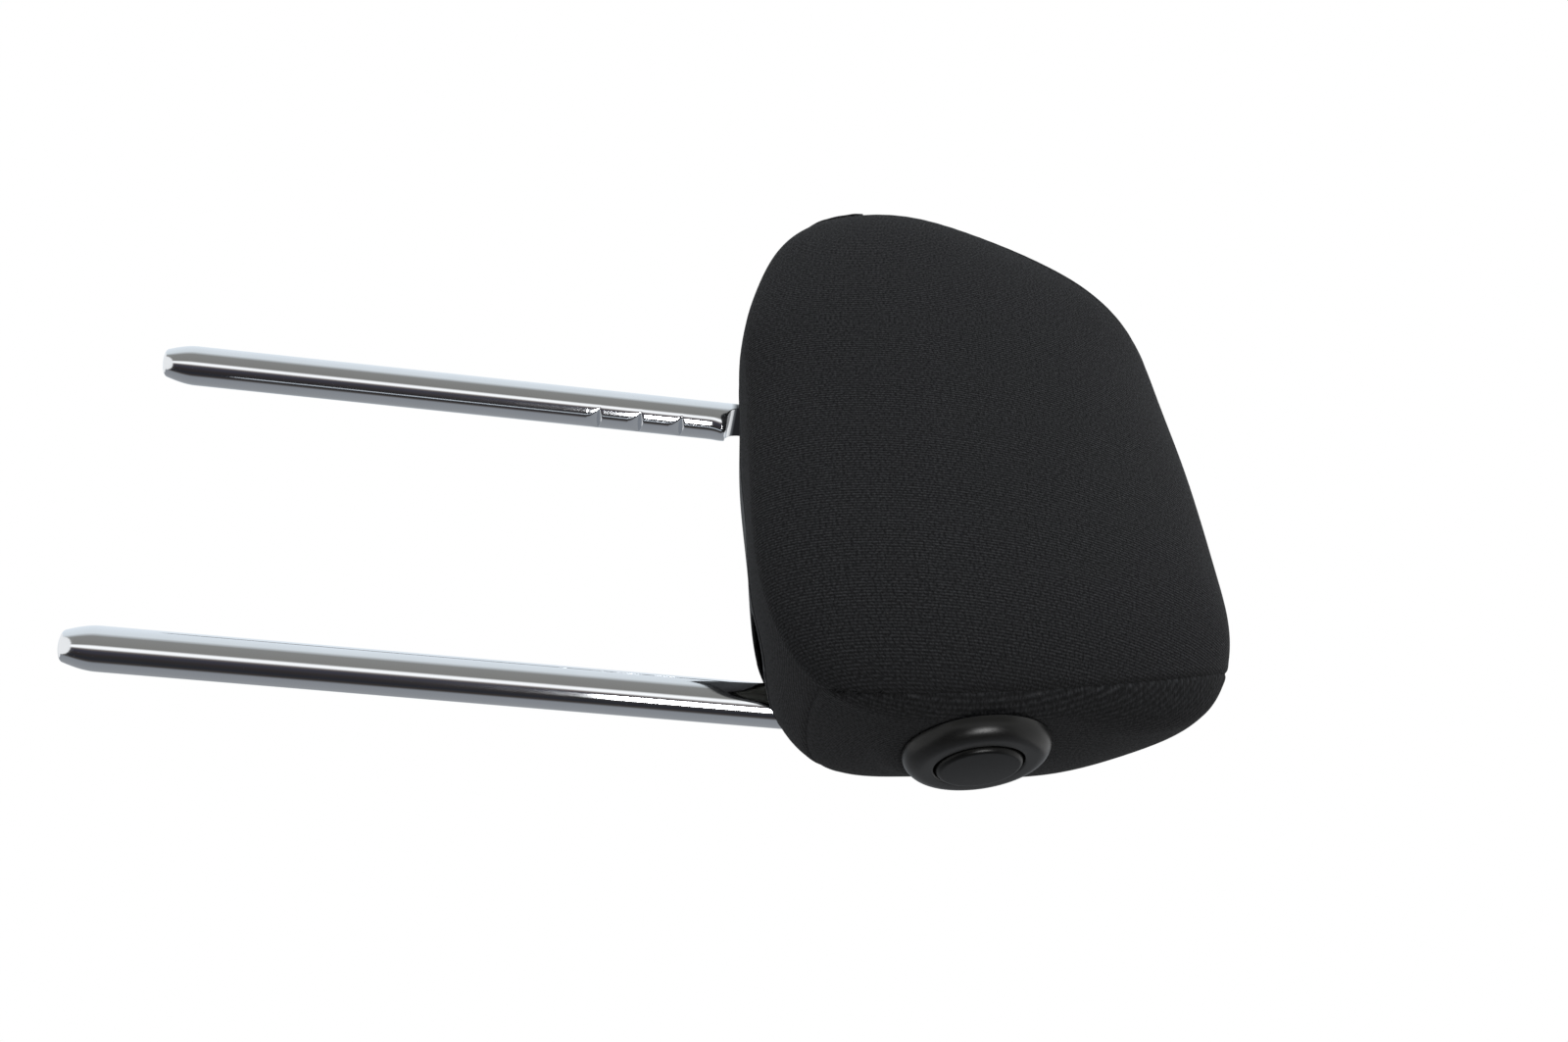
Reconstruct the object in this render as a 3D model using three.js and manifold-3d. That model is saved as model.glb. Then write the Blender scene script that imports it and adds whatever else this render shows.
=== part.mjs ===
// Car headrest: a chromed steel stay with a padded head that tilts forward about its cross bar.
// Units are millimetres and +Z is up. The origin lies midway between the two post tips.
// The padded head's front face looks along -Y, and its release button is on the +X side.
import * as THREE from 'three';
import { mergeVertices } from 'three/addons/utils/BufferGeometryUtils.js';
import Module from 'manifold-3d';

const wasm = await Module();
wasm.setup();

// Clearances
const touchGap = 0.3;
const slideGap = 0.5;
const postGap = 1;

// How far joined forms reach into each other, and how far a cut runs past what it cuts
const weld = 0.5;
const through = 1;
const openFaceReach = 0.01;

// Stay
const postRadius = 7;
const postSpacing = 130;
const barHeight = 285;
const bendRadius = 25;
const noseLength = 9;
const noseTipRadius = 4.2;
const notchCount = 3;
const notchPitch = 15;
const firstNotchHeight = 154.5;
const notchDepth = 1.8;
const notchRampLength = 4.5;
const notchShoulderLength = 1.2;
const stopNotchHeight = 201;
const stopNotchLength = 22;
const stopNotchDepth = 7.6;
const stopNotchRound = 2;

// Tilt of the padded head, in degrees
const tiltRange = 20;

// Padded head, as half sizes of a rounded block with a shallow front and a deep rear
const padBelowBar = 84.3;
const padHalfHeight = 78.3;
const padHalfWidth = 109.3;
const padWidestOffset = -55.2;
const padFrontDepth = 21;
const padRearDepth = 81;
const padLean = 11.6;
const padLeanCurve = 7.2;
const padEdgeBow = 0.6;
const padEdgeRise = 1.3;
const padEdgeSpread = 1.2;
const padTaper = { up: -0.106, upCurve: 0.079, rearward: -0.114 };
const padDepthTaper = { front: 0.127, rear: -0.305 };
const padPower = { edge: 2.05, lowRear: 2, side: 2.63, frontSide: 0.95 };

// Cover
const coverThickness = 2.2;
const foamGap = 0.4;
const seamGap = 0.6;
const seamSlant = 1.3;
const seamAcross = { mean: 0.795, rear: -0.112, top: -0.119, ends: 0.067 };

// Release button
const knobAcross = 79.7;
const knobAround = -53;
const knobTurn = 11.25;
const knobLift = 6.5;
const knobSink = 0.2;
const bezelRadius = 21.4;
const bezelCrownRadius = 16;
const bezelHeight = 6.1;
const bezelLipRound = 0.8;
const bezelSkirt = 1.2;
const bezelClearance = 0.2;
const seatBlendWidth = 12;
const seatReach = 2;
const seatReachEnd = 9;
const seatSeamBlend = 0.25;
const buttonRadius = 12.4;
const buttonProud = 7.3;
const buttonSkirtDepth = 11.4;
const buttonWall = 2;
const buttonRim = 1.6;
const housingRadius = 14.9;
const housingDepth = 18;
const housingFloor = 2.5;
const flangeThickness = 3;
const flangeCup = 20;
const stemBoreReach = 4;
const stemRadius = 3;
const stemOverrun = 1.5;
const housingScrewRadius = 9.6;

// Core, the moulded carrier inside the foam
const coreHalfWidth = 40;
const coreWall = 2.5;
const coreBelowBar = 39;
const coreAboveBar = 21;
const coreFront = 57;
const coreRear = 13.5;
const coreFrontChamfer = 8;
const coreRearChamfer = 10;
const coreRearSlope = 0.7;
const bearingLength = 10;
const bearingHalfHeight = 12;
const bushWall = 1.8;
const bushFlange = 1.5;
const bushFlangeLength = 1.6;
const bushSlit = 3;
const screwRadius = 1.5;
const screwHeadRadius = 3;
const screwHeadHeight = 2;
const screwLength = 14;
const screwPoint = 2;
const driveHalfLength = 1.5;
const driveHalfWidth = 0.4;
const driveDepth = 1;
const bossRadius = 4;
const pilotFloor = 1;
const bossSeat = 2;
const bossRim = 2.5;
const topScrewOffset = 24;
const lowScrewOffset = 33;

// Tilt lock
const plateThickness = 3;
const plateOffset = 15.5;
const plateRadius = 34;
const plateHubWall = 3.2;
const plateHubLength = 6;
const plateMargin = 12;
const liningThickness = 2.5;
const liningLength = 14;
const liningHeight = 12;
const liningAhead = 20;
const liningDrop = 20;
const leverThickness = 4;
const leverHeight = 14;
const leverFrontArm = 14.5;
const leverBossRadius = 4.6;
const leverPinRadius = 2;
const leverToe = 0.6;
const pinLugThickness = 4;
const pinFloor = 1;
const rodRadius = 2.5;
const rodHeadRadius = 3.2;
const rodHeadLength = 3;
const rodHeadStep = 0.8;
const rodTubeWall = 2.4;

// Springs
const buttonSpring = { radius: 5.4, wire: 0.9, turns: 5 };
const leverSpring = { radius: 3, wire: 0.7, turns: 5 };

// Post slots in the bottom cover
const bottomCoverHalfWidth = 75.5;
const bottomCoverMargin = 2;
const bottomCoverRise = 24;
const slotCorner = 8;

// Worked out from the sizes above
const padBottom = barHeight - padBelowBar;
const padMiddle = padBottom + padHalfHeight;
const coreBottom = barHeight - coreBelowBar;
const coreTop = barHeight + coreAboveBar;
const postOffset = postSpacing / 2;
const barHalfLength = postOffset - bendRadius;
const degrees = THREE.MathUtils.degToRad;

// Materials
const material = (color, roughness, metalness) => (
  new THREE.MeshStandardMaterial({ color, roughness, metalness })
);
const chrome = material(0xd9dbdd, 0.12, 1);
const steel = material(0x8d9094, 0.4, 1);
const springSteel = material(0x5c6066, 0.35, 1);
const fabric = material(0x25272a, 0.95, 0);
const foamMaterial = material(0x6f6f6a, 1, 0);
const trimPlastic = material(0x1c1c1d, 0.45, 0);
const corePlastic = material(0x3b3d40, 0.6, 0);
const bushPlastic = material(0xcfcbbd, 0.5, 0);
const liningMaterial = material(0x4a3d33, 0.9, 0);

// Turns a closed geometry into a solid that can be cut and joined
function solidOf(geometry) {
  const bare = new THREE.BufferGeometry();
  bare.setAttribute('position', geometry.getAttribute('position').clone());
  if (geometry.index) bare.setIndex(geometry.index.clone());
  const merged = mergeVertices(bare, 1e-4);
  const corners = merged.index.array;
  const kept = [];
  for (let i = 0; i < corners.length; i += 3) {
    const [a, b, c] = corners.subarray(i, i + 3);
    if (a !== b && b !== c && c !== a) kept.push(a, b, c);
  }
  return new wasm.Manifold(new wasm.Mesh({
    numProp: 3,
    vertProperties: new Float32Array(merged.getAttribute('position').array),
    triVerts: new Uint32Array(kept),
  }));
}

function geometryOf(solid) {
  const mesh = solid.getMesh();
  const geometry = new THREE.BufferGeometry();
  geometry.setAttribute('position', new THREE.BufferAttribute(mesh.vertProperties, 3));
  geometry.setIndex(new THREE.BufferAttribute(mesh.triVerts, 1));
  geometry.computeVertexNormals();
  return geometry;
}

const join = (...geometries) => geometryOf(
  geometries.map(solidOf).reduce((sum, next) => sum.add(next)),
);
const cut = (geometry, ...tools) => geometryOf(
  tools.map(solidOf).reduce((left, next) => left.subtract(next), solidOf(geometry)),
);
const overlap = (first, second) => geometryOf(solidOf(first).intersect(solidOf(second)));

// A block between two corners
function block(x0, x1, y0, y1, z0, z1) {
  return new THREE.BoxGeometry(x1 - x0, y1 - y0, z1 - z0)
    .translate((x0 + x1) / 2, (y0 + y1) / 2, (z0 + z1) / 2);
}

// A turned piece about +Z, from [radius, height] points that close on the axis or on themselves
function turned(profile, segments) {
  const points = profile.map(([radius, height]) => new THREE.Vector2(radius, height));
  return new THREE.LatheGeometry(points, segments).rotateX(Math.PI / 2);
}

const rod = (radius, low, high, segments = 20) => turned(
  [[0, low], [radius, low], [radius, high], [0, high]],
  segments,
);
const alongX = (geometry) => geometry.rotateY(Math.PI / 2);
const alongY = (geometry) => geometry.rotateX(-Math.PI / 2);

// A slab of constant thickness along X, from [y, z] points
function slabX(outline, x0, x1) {
  const shape = new THREE.Shape(outline.map(([y, z]) => new THREE.Vector2(y, z)));
  const slab = new THREE.ExtrudeGeometry(shape, { depth: x1 - x0, bevelEnabled: false });
  const toX = new THREE.Matrix4().set(0, 0, 1, x0, 1, 0, 0, 0, 0, 1, 0, 0, 0, 0, 0, 1);
  return slab.applyMatrix4(toX);
}

// A slab along Z, from a shape in X and Y
const slabZ = (shape, z0, z1, curveSegments = 8) => (
  new THREE.ExtrudeGeometry(shape, { depth: z1 - z0, bevelEnabled: false, curveSegments })
    .translate(0, 0, z0)
);

function roundedRectangle(x0, x1, y0, y1, radius) {
  const shape = new THREE.Shape();
  shape.moveTo(x0 + radius, y0);
  shape.absarc(x1 - radius, y0 + radius, radius, -Math.PI / 2, 0);
  shape.absarc(x1 - radius, y1 - radius, radius, 0, Math.PI / 2);
  shape.absarc(x0 + radius, y1 - radius, radius, Math.PI / 2, Math.PI);
  shape.absarc(x0 + radius, y0 + radius, radius, Math.PI, Math.PI * 1.5);
  return shape;
}

// A closed solid from rings of points: closed by a point at each end, or looped on itself
function ringSolid(rings, startPoint, endPoint) {
  const count = rings[0].length;
  const points = rings.flat();
  const faces = [];
  const spans = startPoint ? rings.length - 1 : rings.length;
  for (let row = 0; row < spans; row += 1) {
    const here = row * count;
    const next = ((row + 1) % rings.length) * count;
    for (let i = 0; i < count; i += 1) {
      const j = (i + 1) % count;
      const forward = points[here + i].distanceToSquared(points[next + j]);
      const backward = points[here + j].distanceToSquared(points[next + i]);
      if (forward < backward) {
        faces.push(here + i, here + j, next + j, here + i, next + j, next + i);
      } else {
        faces.push(here + i, here + j, next + i, here + j, next + j, next + i);
      }
    }
  }
  if (startPoint) {
    const last = (rings.length - 1) * count;
    const start = points.push(startPoint) - 1;
    const end = points.push(endPoint) - 1;
    for (let i = 0; i < count; i += 1) {
      const j = (i + 1) % count;
      faces.push(start, j, i, end, last + i, last + j);
    }
  }
  const volume = faces.reduce((sum, _, k) => (k % 3 ? sum : sum + points[faces[k]].dot(
    points[faces[k + 1]].clone().cross(points[faces[k + 2]]),
  )), 0);
  if (volume < 0) faces.reverse();
  const geometry = new THREE.BufferGeometry().setFromPoints(points);
  geometry.setIndex(faces);
  geometry.computeVertexNormals();
  return geometry;
}

// A round wire along a curve
function wire(curve, radius, steps) {
  const section = new THREE.Shape().absarc(0, 0, radius, 0, Math.PI * 2);
  return new THREE.ExtrudeGeometry(section, {
    steps, extrudePath: curve, bevelEnabled: false, curveSegments: 3,
  });
}

// A coil about +Z
class Coil extends THREE.Curve {
  constructor(radius, turns, length) {
    super();
    Object.assign(this, { radius, turns, length });
  }

  getPoint(t) {
    const angle = t * this.turns * Math.PI * 2;
    return new THREE.Vector3(
      this.radius * Math.cos(angle),
      this.radius * Math.sin(angle),
      this.length * t,
    );
  }
}

// Point at an angle on a rounded square of half size 1: power 2 is a circle, more is squarer
function roundedUnit(angle, power) {
  const c = Math.cos(angle);
  const s = Math.sin(angle);
  const reach = (Math.abs(c) ** power + Math.abs(s) ** power) ** (-1 / power);
  return [reach * c, reach * s];
}

// Point on the padded head's plain form.
// Across runs from -90 degrees at the far side to 90 at the button side, and around turns
// about X: 0 is the rear, 90 the top, 180 the front and 270 the bottom.
function plainPadPoint(across, around) {
  const low = Math.max(0, -Math.sin(around)) ** 2 * Math.max(0, Math.cos(around)) ** 2;
  const front = (1 - Math.cos(around)) / 2;
  const [rearward, upward] = roundedUnit(around, padPower.edge + padPower.lowRear * low);
  const [reach, side] = roundedUnit(across, padPower.side + padPower.frontSide * front);
  const y = reach * rearward;
  const z = reach * upward;
  const depth = y < 0
    ? padFrontDepth * (1 + padDepthTaper.front * z)
    : padRearDepth * (1 + padDepthTaper.rear * z);
  const width = 1 + padTaper.up * z + padTaper.upCurve * z * z
    + padTaper.rearward * depth * y / padRearDepth;
  return new THREE.Vector3(
    padHalfWidth * width * side,
    padWidestOffset + padLean * z + padLeanCurve * z * z + depth * y + padEdgeBow * side * side,
    padMiddle + padHalfHeight * z + (padEdgeRise + padEdgeSpread * z) * side * side,
  );
}

// The button's frame: its origin on the padded head's side, and +Z out along the button's travel
const knobNormal = new THREE.Vector3(
  Math.cos(degrees(knobLift)) * Math.cos(degrees(knobTurn)),
  Math.cos(degrees(knobLift)) * Math.sin(degrees(knobTurn)),
  Math.sin(degrees(knobLift)),
);
const knobPlace = plainPadPoint(degrees(knobAcross), degrees(knobAround))
  .addScaledVector(knobNormal, -knobSink);
const knobTurning = new THREE.Quaternion()
  .setFromUnitVectors(new THREE.Vector3(0, 0, 1), knobNormal);
const knobMatrix = new THREE.Matrix4().compose(
  knobPlace,
  knobTurning,
  new THREE.Vector3(1, 1, 1),
);
const inKnobFrame = (geometry) => geometry.applyMatrix4(knobMatrix);

// Where the seam runs: how far across it lies at each place around the head
const seamAt = (around) => (
  seamAcross.mean + seamAcross.rear * Math.cos(around) + seamAcross.top * Math.sin(around)
  + seamAcross.ends * Math.cos(2 * around)
);

// The padded head's outer face, pressed flat where the bezel sits on its side panel
function padPoint(across, around) {
  const point = plainPadPoint(across, around);
  if (across <= 0) return point;
  const offset = point.clone().sub(knobPlace);
  const proud = offset.dot(knobNormal);
  const distance = Math.sqrt(Math.max(0, offset.lengthSq() - proud * proud));
  const { smoothstep } = THREE.MathUtils;
  const near = 1 - smoothstep(distance, bezelRadius, bezelRadius + seatBlendWidth);
  const level = 1 - smoothstep(Math.abs(proud), seatReach, seatReachEnd);
  const fromSeam = smoothstep(across, seamAt(around), seamAt(around) + seatSeamBlend);
  return point.addScaledVector(knobNormal, -proud * near * level * fromSeam);
}

// A point well inside the padded head
const padCentre = new THREE.Vector3(0, padWidestOffset + padRearDepth / 3, padMiddle);

// Outward normal of the padded head, from points a small step apart
function padNormal(across, around) {
  const step = 0.01;
  const nearPole = Math.abs(across) > Math.PI / 2 - step;
  const edge = Math.sign(across) * (Math.PI / 2 - 3 * step);
  const first = nearPole
    ? padPoint(edge, 0).sub(padPoint(edge, Math.PI))
    : padPoint(across + step, around).sub(padPoint(across - step, around));
  const second = nearPole
    ? padPoint(edge, Math.PI / 2).sub(padPoint(edge, -Math.PI / 2))
    : padPoint(across, around + step).sub(padPoint(across, around - step));
  const normal = first.cross(second).normalize();
  const outward = nearPole ? normal.x * across : -normal.dot(padCentre.clone().sub(
    padPoint(across, around),
  ));
  return outward < 0 ? normal.negate() : normal;
}

const padInset = (across, around, depth, normalAcross = across) => (
  padPoint(across, around).addScaledVector(padNormal(normalAcross, around), -depth)
);

const padSteps = 40;
const centreSteps = 8;
const sideSteps = 5;
const aroundSteps = Array.from({ length: padSteps }, (_, i) => (i / padSteps) * Math.PI * 2);
const padRing = (acrossAt, depth, gap) => aroundSteps.map((around) => (
  padInset(acrossAt(around, gap), around, depth, acrossAt(around, 0))
));

const seamEdge = seamGap / 2 / padHalfWidth * seamSlant;

// Rings of the centre panel, from seam to seam, and of a side panel, from its seam inwards
const centreRing = (i, depth, gap) => padRing((around, open) => (
  (i / centreSteps * 2 - 1) * (seamAt(around) - open)
), depth, gap);
const sideRing = (side, i, depth, gap) => padRing((around, open) => (
  side * THREE.MathUtils.lerp(seamAt(around) + open, Math.PI / 2, i / sideSteps)
), depth, gap);
const sidePole = (side, depth) => padInset(side * Math.PI / 2, 0, depth);

// The whole head as one solid, a given depth under its outer face
function padSolid(depth) {
  const rings = [];
  for (let i = sideSteps - 1; i > 0; i -= 1) rings.push(sideRing(-1, i, depth, 0));
  for (let i = 0; i <= centreSteps; i += 1) rings.push(centreRing(i, depth, 0));
  for (let i = 1; i < sideSteps; i += 1) rings.push(sideRing(1, i, depth, 0));
  return ringSolid(rings, sidePole(-1, depth), sidePole(1, depth));
}

// The sewn panel over the front, top, rear and bottom, from seam to seam
function centrePanel() {
  const rings = [];
  for (let i = 0; i <= centreSteps; i += 1) rings.push(centreRing(i, 0, seamEdge));
  for (let i = centreSteps; i >= 0; i -= 1) rings.push(centreRing(i, coverThickness, seamEdge));
  return ringSolid(rings);
}

// A side panel, from its seam to the middle of the side
function sidePanel(side) {
  const rings = [];
  for (let i = sideSteps - 1; i >= 0; i -= 1) rings.push(sideRing(side, i, 0, seamEdge));
  for (let i = 0; i < sideSteps; i += 1) rings.push(sideRing(side, i, coverThickness, seamEdge));
  return ringSolid(rings, sidePole(side, 0), sidePole(side, coverThickness));
}

// Stay: two posts and a cross bar, bent from one rod
function stayRod() {
  const sides = 24;
  const noseRows = 6;
  const bendRows = 8;
  const path = [];
  for (let i = 0; i <= noseRows; i += 1) {
    const height = noseLength * i / noseRows;
    const grow = Math.sin(i / noseRows * Math.PI / 2);
    const r = noseTipRadius + (postRadius - noseTipRadius) * grow;
    path.push({ x: -postOffset, z: height, turn: 0, r });
  }
  for (let i = 0; i <= bendRows; i += 1) {
    const turn = i / bendRows * Math.PI / 2;
    path.push({
      x: -barHalfLength - bendRadius * Math.cos(turn),
      z: barHeight - bendRadius + bendRadius * Math.sin(turn),
      turn,
      r: postRadius,
    });
  }
  const mirrored = path.map(({ x, z, turn, r }) => ({ x: -x, z, turn: Math.PI - turn, r })).reverse();
  const rings = [...path, ...mirrored].map(({ x, z, turn, r }) => (
    Array.from({ length: sides }, (_, i) => {
      const angle = (i + 0.5) / sides * Math.PI * 2;
      const inPlane = r * Math.cos(angle);
      return new THREE.Vector3(
        x + inPlane * Math.cos(turn),
        r * Math.sin(angle),
        z - inPlane * Math.sin(turn),
      );
    })
  ));
  const tip = (side) => new THREE.Vector3(side * postOffset, 0, 0);
  return ringSolid(rings, tip(-1), tip(1));
}

// Height notches on the far post's inner face: a long ramp below and a steep shoulder above
function notchCutters() {
  const face = -postOffset + postRadius;
  const cutters = [];
  const prism = (outline) => {
    const shape = new THREE.Shape(outline.map(([x, z]) => new THREE.Vector2(x, z)));
    const reach = postRadius + through;
    const depth = 2 * reach;
    const toXZ = new THREE.Matrix4().set(1, 0, 0, 0, 0, 0, -1, reach, 0, 1, 0, 0, 0, 0, 0, 1);
    return new THREE.ExtrudeGeometry(shape, { depth, bevelEnabled: false }).applyMatrix4(toXZ);
  };
  for (let i = 0; i < notchCount; i += 1) {
    const root = firstNotchHeight + i * notchPitch;
    const slope = (notchDepth + through) / notchDepth;
    cutters.push(prism([
      [face + through, root - notchRampLength * slope],
      [face + through, root + notchShoulderLength * slope],
      [face - notchDepth, root],
    ]));
  }
  const round = [];
  for (let i = 0; i <= 4; i += 1) {
    const angle = i / 4 * Math.PI / 2;
    round.push([
      face - stopNotchDepth + stopNotchRound * (1 - Math.sin(angle)),
      stopNotchHeight + stopNotchRound * (1 - Math.cos(angle)),
    ]);
  }
  cutters.push(prism([
    [face + through, stopNotchHeight],
    ...round,
    [face - stopNotchDepth, stopNotchHeight + stopNotchLength],
    [face + through, stopNotchHeight + stopNotchLength],
  ]));
  return cutters;
}

// Where the release train's pieces meet
const stemEnd = housingDepth + knobSink + stemOverrun;
const stemEndPlace = knobPlace.clone().addScaledVector(knobNormal, -stemEnd);
const rodLine = { y: stemEndPlace.y, z: stemEndPlace.z };
const plateFace = plateOffset + plateThickness / 2;
const leverInner = plateFace + touchGap + liningThickness;
const leverPivot = { x: leverInner + leverThickness, y: rodLine.y + leverFrontArm };
const leverMiddle = rodLine.z;
const leverFrontFace = leverInner + leverThickness * 1.5;
const rodInnerEnd = leverFrontFace + touchGap;
const rodOuterEnd = stemEndPlace.x - touchGap - rodHeadRadius * Math.tan(degrees(knobTurn));
const liningMiddle = { y: -liningAhead, z: barHeight - liningDrop };

// The steel plate fixed on the cross bar, with a round-edged wing that the lock clamps
function lockPlate() {
  const hubRadius = postRadius + touchGap + plateHubWall;
  const middle = Math.atan2(liningMiddle.z - barHeight, liningMiddle.y);
  const reach = Math.hypot(liningMiddle.y, liningDrop);
  const half = Math.asin(liningLength / 2 / reach) + degrees(plateMargin);
  const wing = new THREE.Shape();
  wing.moveTo(0, 0);
  wing.absarc(0, 0, plateRadius, middle - half, middle + half + degrees(tiltRange));
  wing.lineTo(0, 0);
  const toX = new THREE.Matrix4().set(0, 0, 1, 0, 1, 0, 0, 0, 0, 1, 0, 0, 0, 0, 0, 1);
  const wingSlab = new THREE.ExtrudeGeometry(wing, {
    depth: plateThickness, bevelEnabled: false, curveSegments: 20,
  }).applyMatrix4(toX).translate(-plateThickness / 2, 0, 0);
  const hub = alongX(rod(hubRadius, -plateHubLength / 2, plateHubLength / 2, 32));
  const bore = alongX(rod(postRadius + touchGap, -plateHubLength, plateHubLength));
  return cut(join(wingSlab, hub), bore);
}

// Core shells, which close around the cross bar and meet on the plane of the posts
const frontOutline = (inset) => [
  [0, coreBottom + inset],
  [0, coreTop - inset],
  [-coreFront + coreFrontChamfer, coreTop - inset],
  [-coreFront + inset, coreTop - coreFrontChamfer],
  [-coreFront + inset, coreBottom + coreFrontChamfer],
  [-coreFront + coreFrontChamfer, coreBottom + inset],
];
const rearOutline = (inset) => [
  [0, coreBottom + inset],
  [coreRear - inset, coreBottom + inset],
  [coreRear - inset, coreTop - coreRearChamfer],
  [coreRear - inset - coreRearChamfer * coreRearSlope, coreTop - inset],
  [0, coreTop - inset],
];
const screwPlaces = [
  [-topScrewOffset, coreTop - coreWall - bossRadius + weld],
  [topScrewOffset, coreTop - coreWall - bossRadius + weld],
  [-lowScrewOffset, coreBottom + coreWall + bossRadius - weld],
  [lowScrewOffset, coreBottom + coreWall + bossRadius - weld],
];
const bearingBlock = (side, y0, y1) => block(
  Math.min(side * (coreHalfWidth - bearingLength), side * (coreHalfWidth - weld)),
  Math.max(side * (coreHalfWidth - bearingLength), side * (coreHalfWidth - weld)),
  y0,
  y1,
  barHeight - bearingHalfHeight,
  barHeight + bearingHalfHeight,
);
const bushOuter = postRadius + touchGap + bushWall;
const barTunnel = () => alongX(rod(
  bushOuter + touchGap,
  -coreHalfWidth - through,
  coreHalfWidth + through,
  32,
)).translate(0, 0, barHeight);
const bossAt = ([x, z], y0, y1, radius) => alongY(rod(radius, y0, y1)).translate(x, 0, z);

function coreRearShell() {
  const outer = slabX(rearOutline(0), -coreHalfWidth, coreHalfWidth);
  const inner = slabX(rearOutline(coreWall), -coreHalfWidth + coreWall, coreHalfWidth - coreWall);
  const hollow = cut(outer, inner.clone().translate(0, -openFaceReach, 0));
  const bosses = screwPlaces.map((place) => bossAt(place, 0, bossSeat + bossRim, bossRadius));
  const bearings = [-1, 1].map((side) => bearingBlock(side, 0, coreRear - coreWall + weld));
  const solid = overlap(join(hollow, ...bosses, ...bearings), outer);
  const holes = screwPlaces.map((place) => (
    bossAt(place, -through, coreRear + through, screwRadius + touchGap)
  ));
  const seats = screwPlaces.map((place) => (
    bossAt(place, bossSeat, coreRear + through, screwHeadRadius + touchGap)
  ));
  return cut(solid, barTunnel(), ...holes, ...seats);
}

const rodTubeRadius = rodRadius + slideGap;
const rodTubeOuter = rodTubeRadius + rodTubeWall;
const rodTubeEnd = stemEndPlace.x;
const pinTop = leverMiddle + leverHeight / 2 + slideGap + pinLugThickness;
const pinBottom = leverMiddle - leverHeight / 2 - slideGap - pinLugThickness;
const reactionFace = plateOffset - plateThickness / 2 - touchGap;
const ribFace = reactionFace - liningThickness;

function coreFrontShell() {
  const outer = slabX(frontOutline(0), -coreHalfWidth, coreHalfWidth);
  const inner = slabX(frontOutline(coreWall), -coreHalfWidth + coreWall, coreHalfWidth - coreWall);
  const hollow = cut(outer, inner.clone().translate(0, openFaceReach, 0));
  const bosses = screwPlaces.map((place) => bossAt(place, -screwLength, 0, bossRadius));
  const bearings = [-1, 1].map((side) => bearingBlock(side, -bearingHalfHeight, 0));
  const lug = (low, high) => block(
    leverPivot.x - leverBossRadius,
    leverPivot.x + leverBossRadius,
    -coreFront + coreWall / 2,
    leverPivot.y + leverBossRadius,
    low,
    high,
  );
  const lugs = [lug(pinTop - pinLugThickness, pinTop), lug(pinBottom, pinBottom + pinLugThickness)];
  const rib = block(
    ribFace - coreWall,
    ribFace,
    -coreFront + coreWall / 2,
    liningMiddle.y + liningLength / 2,
    coreBottom + coreWall / 2,
    liningMiddle.z + liningHeight / 2,
  );
  const rodTube = alongX(rod(rodTubeOuter, coreHalfWidth - coreWall / 2, rodTubeEnd))
    .translate(0, rodLine.y, rodLine.z);
  const flangeTop = -knobSink - housingDepth - touchGap;
  const flange = inKnobFrame(rod(housingRadius, flangeTop - flangeThickness, flangeTop, 32));
  const rodBore = alongX(rod(rodTubeRadius, coreHalfWidth - 2 * coreWall, rodTubeEnd + housingDepth))
    .translate(0, rodLine.y, rodLine.z);
  const stemBore = inKnobFrame(rod(
    stemRadius + slideGap,
    flangeTop - flangeThickness - stemBoreReach,
    through,
  ));
  const aboveFlange = inKnobFrame(rod(housingRadius + through, flangeTop, flangeTop + flangeCup, 32));
  const pinHole = rod(leverPinRadius + touchGap, pinBottom + pinFloor, pinTop + through)
    .translate(leverPivot.x, leverPivot.y, 0);
  const pilots = screwPlaces.map((place) => (
    bossAt(place, -screwLength + pilotFloor, through, screwRadius + touchGap)
  ));
  const screwPilots = housingScrewPlaces.map(([x, y]) => inKnobFrame(
    rod(screwRadius + touchGap, flangeTop - flangeThickness - through, 0).translate(x, y, 0),
  ));
  const inside = overlap(join(rib, ...lugs), outer);
  const body = join(hollow, ...bosses, ...bearings, inside, rodTube, flange);
  return cut(body, barTunnel(), rodBore, stemBore, aboveFlange, pinHole, ...pilots, ...screwPilots);
}

// Split bush that lets the head turn on the cross bar
function pivotBush() {
  const inner = postRadius + touchGap;
  const body = alongX(turned([
    [inner, 0],
    [bushOuter + bushFlange, 0],
    [bushOuter + bushFlange, bushFlangeLength],
    [bushOuter, bushFlangeLength],
    [bushOuter, bearingLength + bushFlangeLength],
    [inner, bearingLength + bushFlangeLength],
    [inner, 0],
  ], 32));
  const length = bearingLength + bushFlangeLength;
  return cut(body, block(
    -through,
    length + through,
    inner - through,
    bushOuter + bushFlange + through,
    -bushSlit / 2,
    bushSlit / 2,
  ));
}

// A pan-headed screw along +Z, with a recessed drive
function screw(length) {
  const body = turned([
    [0, -length],
    [screwRadius * 0.5, -length],
    [screwRadius, -length + screwPoint],
    [screwRadius, 0],
    [screwHeadRadius, 0],
    [screwHeadRadius, screwHeadHeight * 0.6],
    [screwHeadRadius * 0.7, screwHeadHeight],
    [0, screwHeadHeight],
  ], 16);
  const slot = block(
    -driveHalfLength,
    driveHalfLength,
    -driveHalfWidth,
    driveHalfWidth,
    screwHeadHeight - driveDepth,
    screwHeadHeight + through,
  );
  return cut(body, slot, slot.clone().rotateZ(Math.PI / 2));
}

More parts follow.
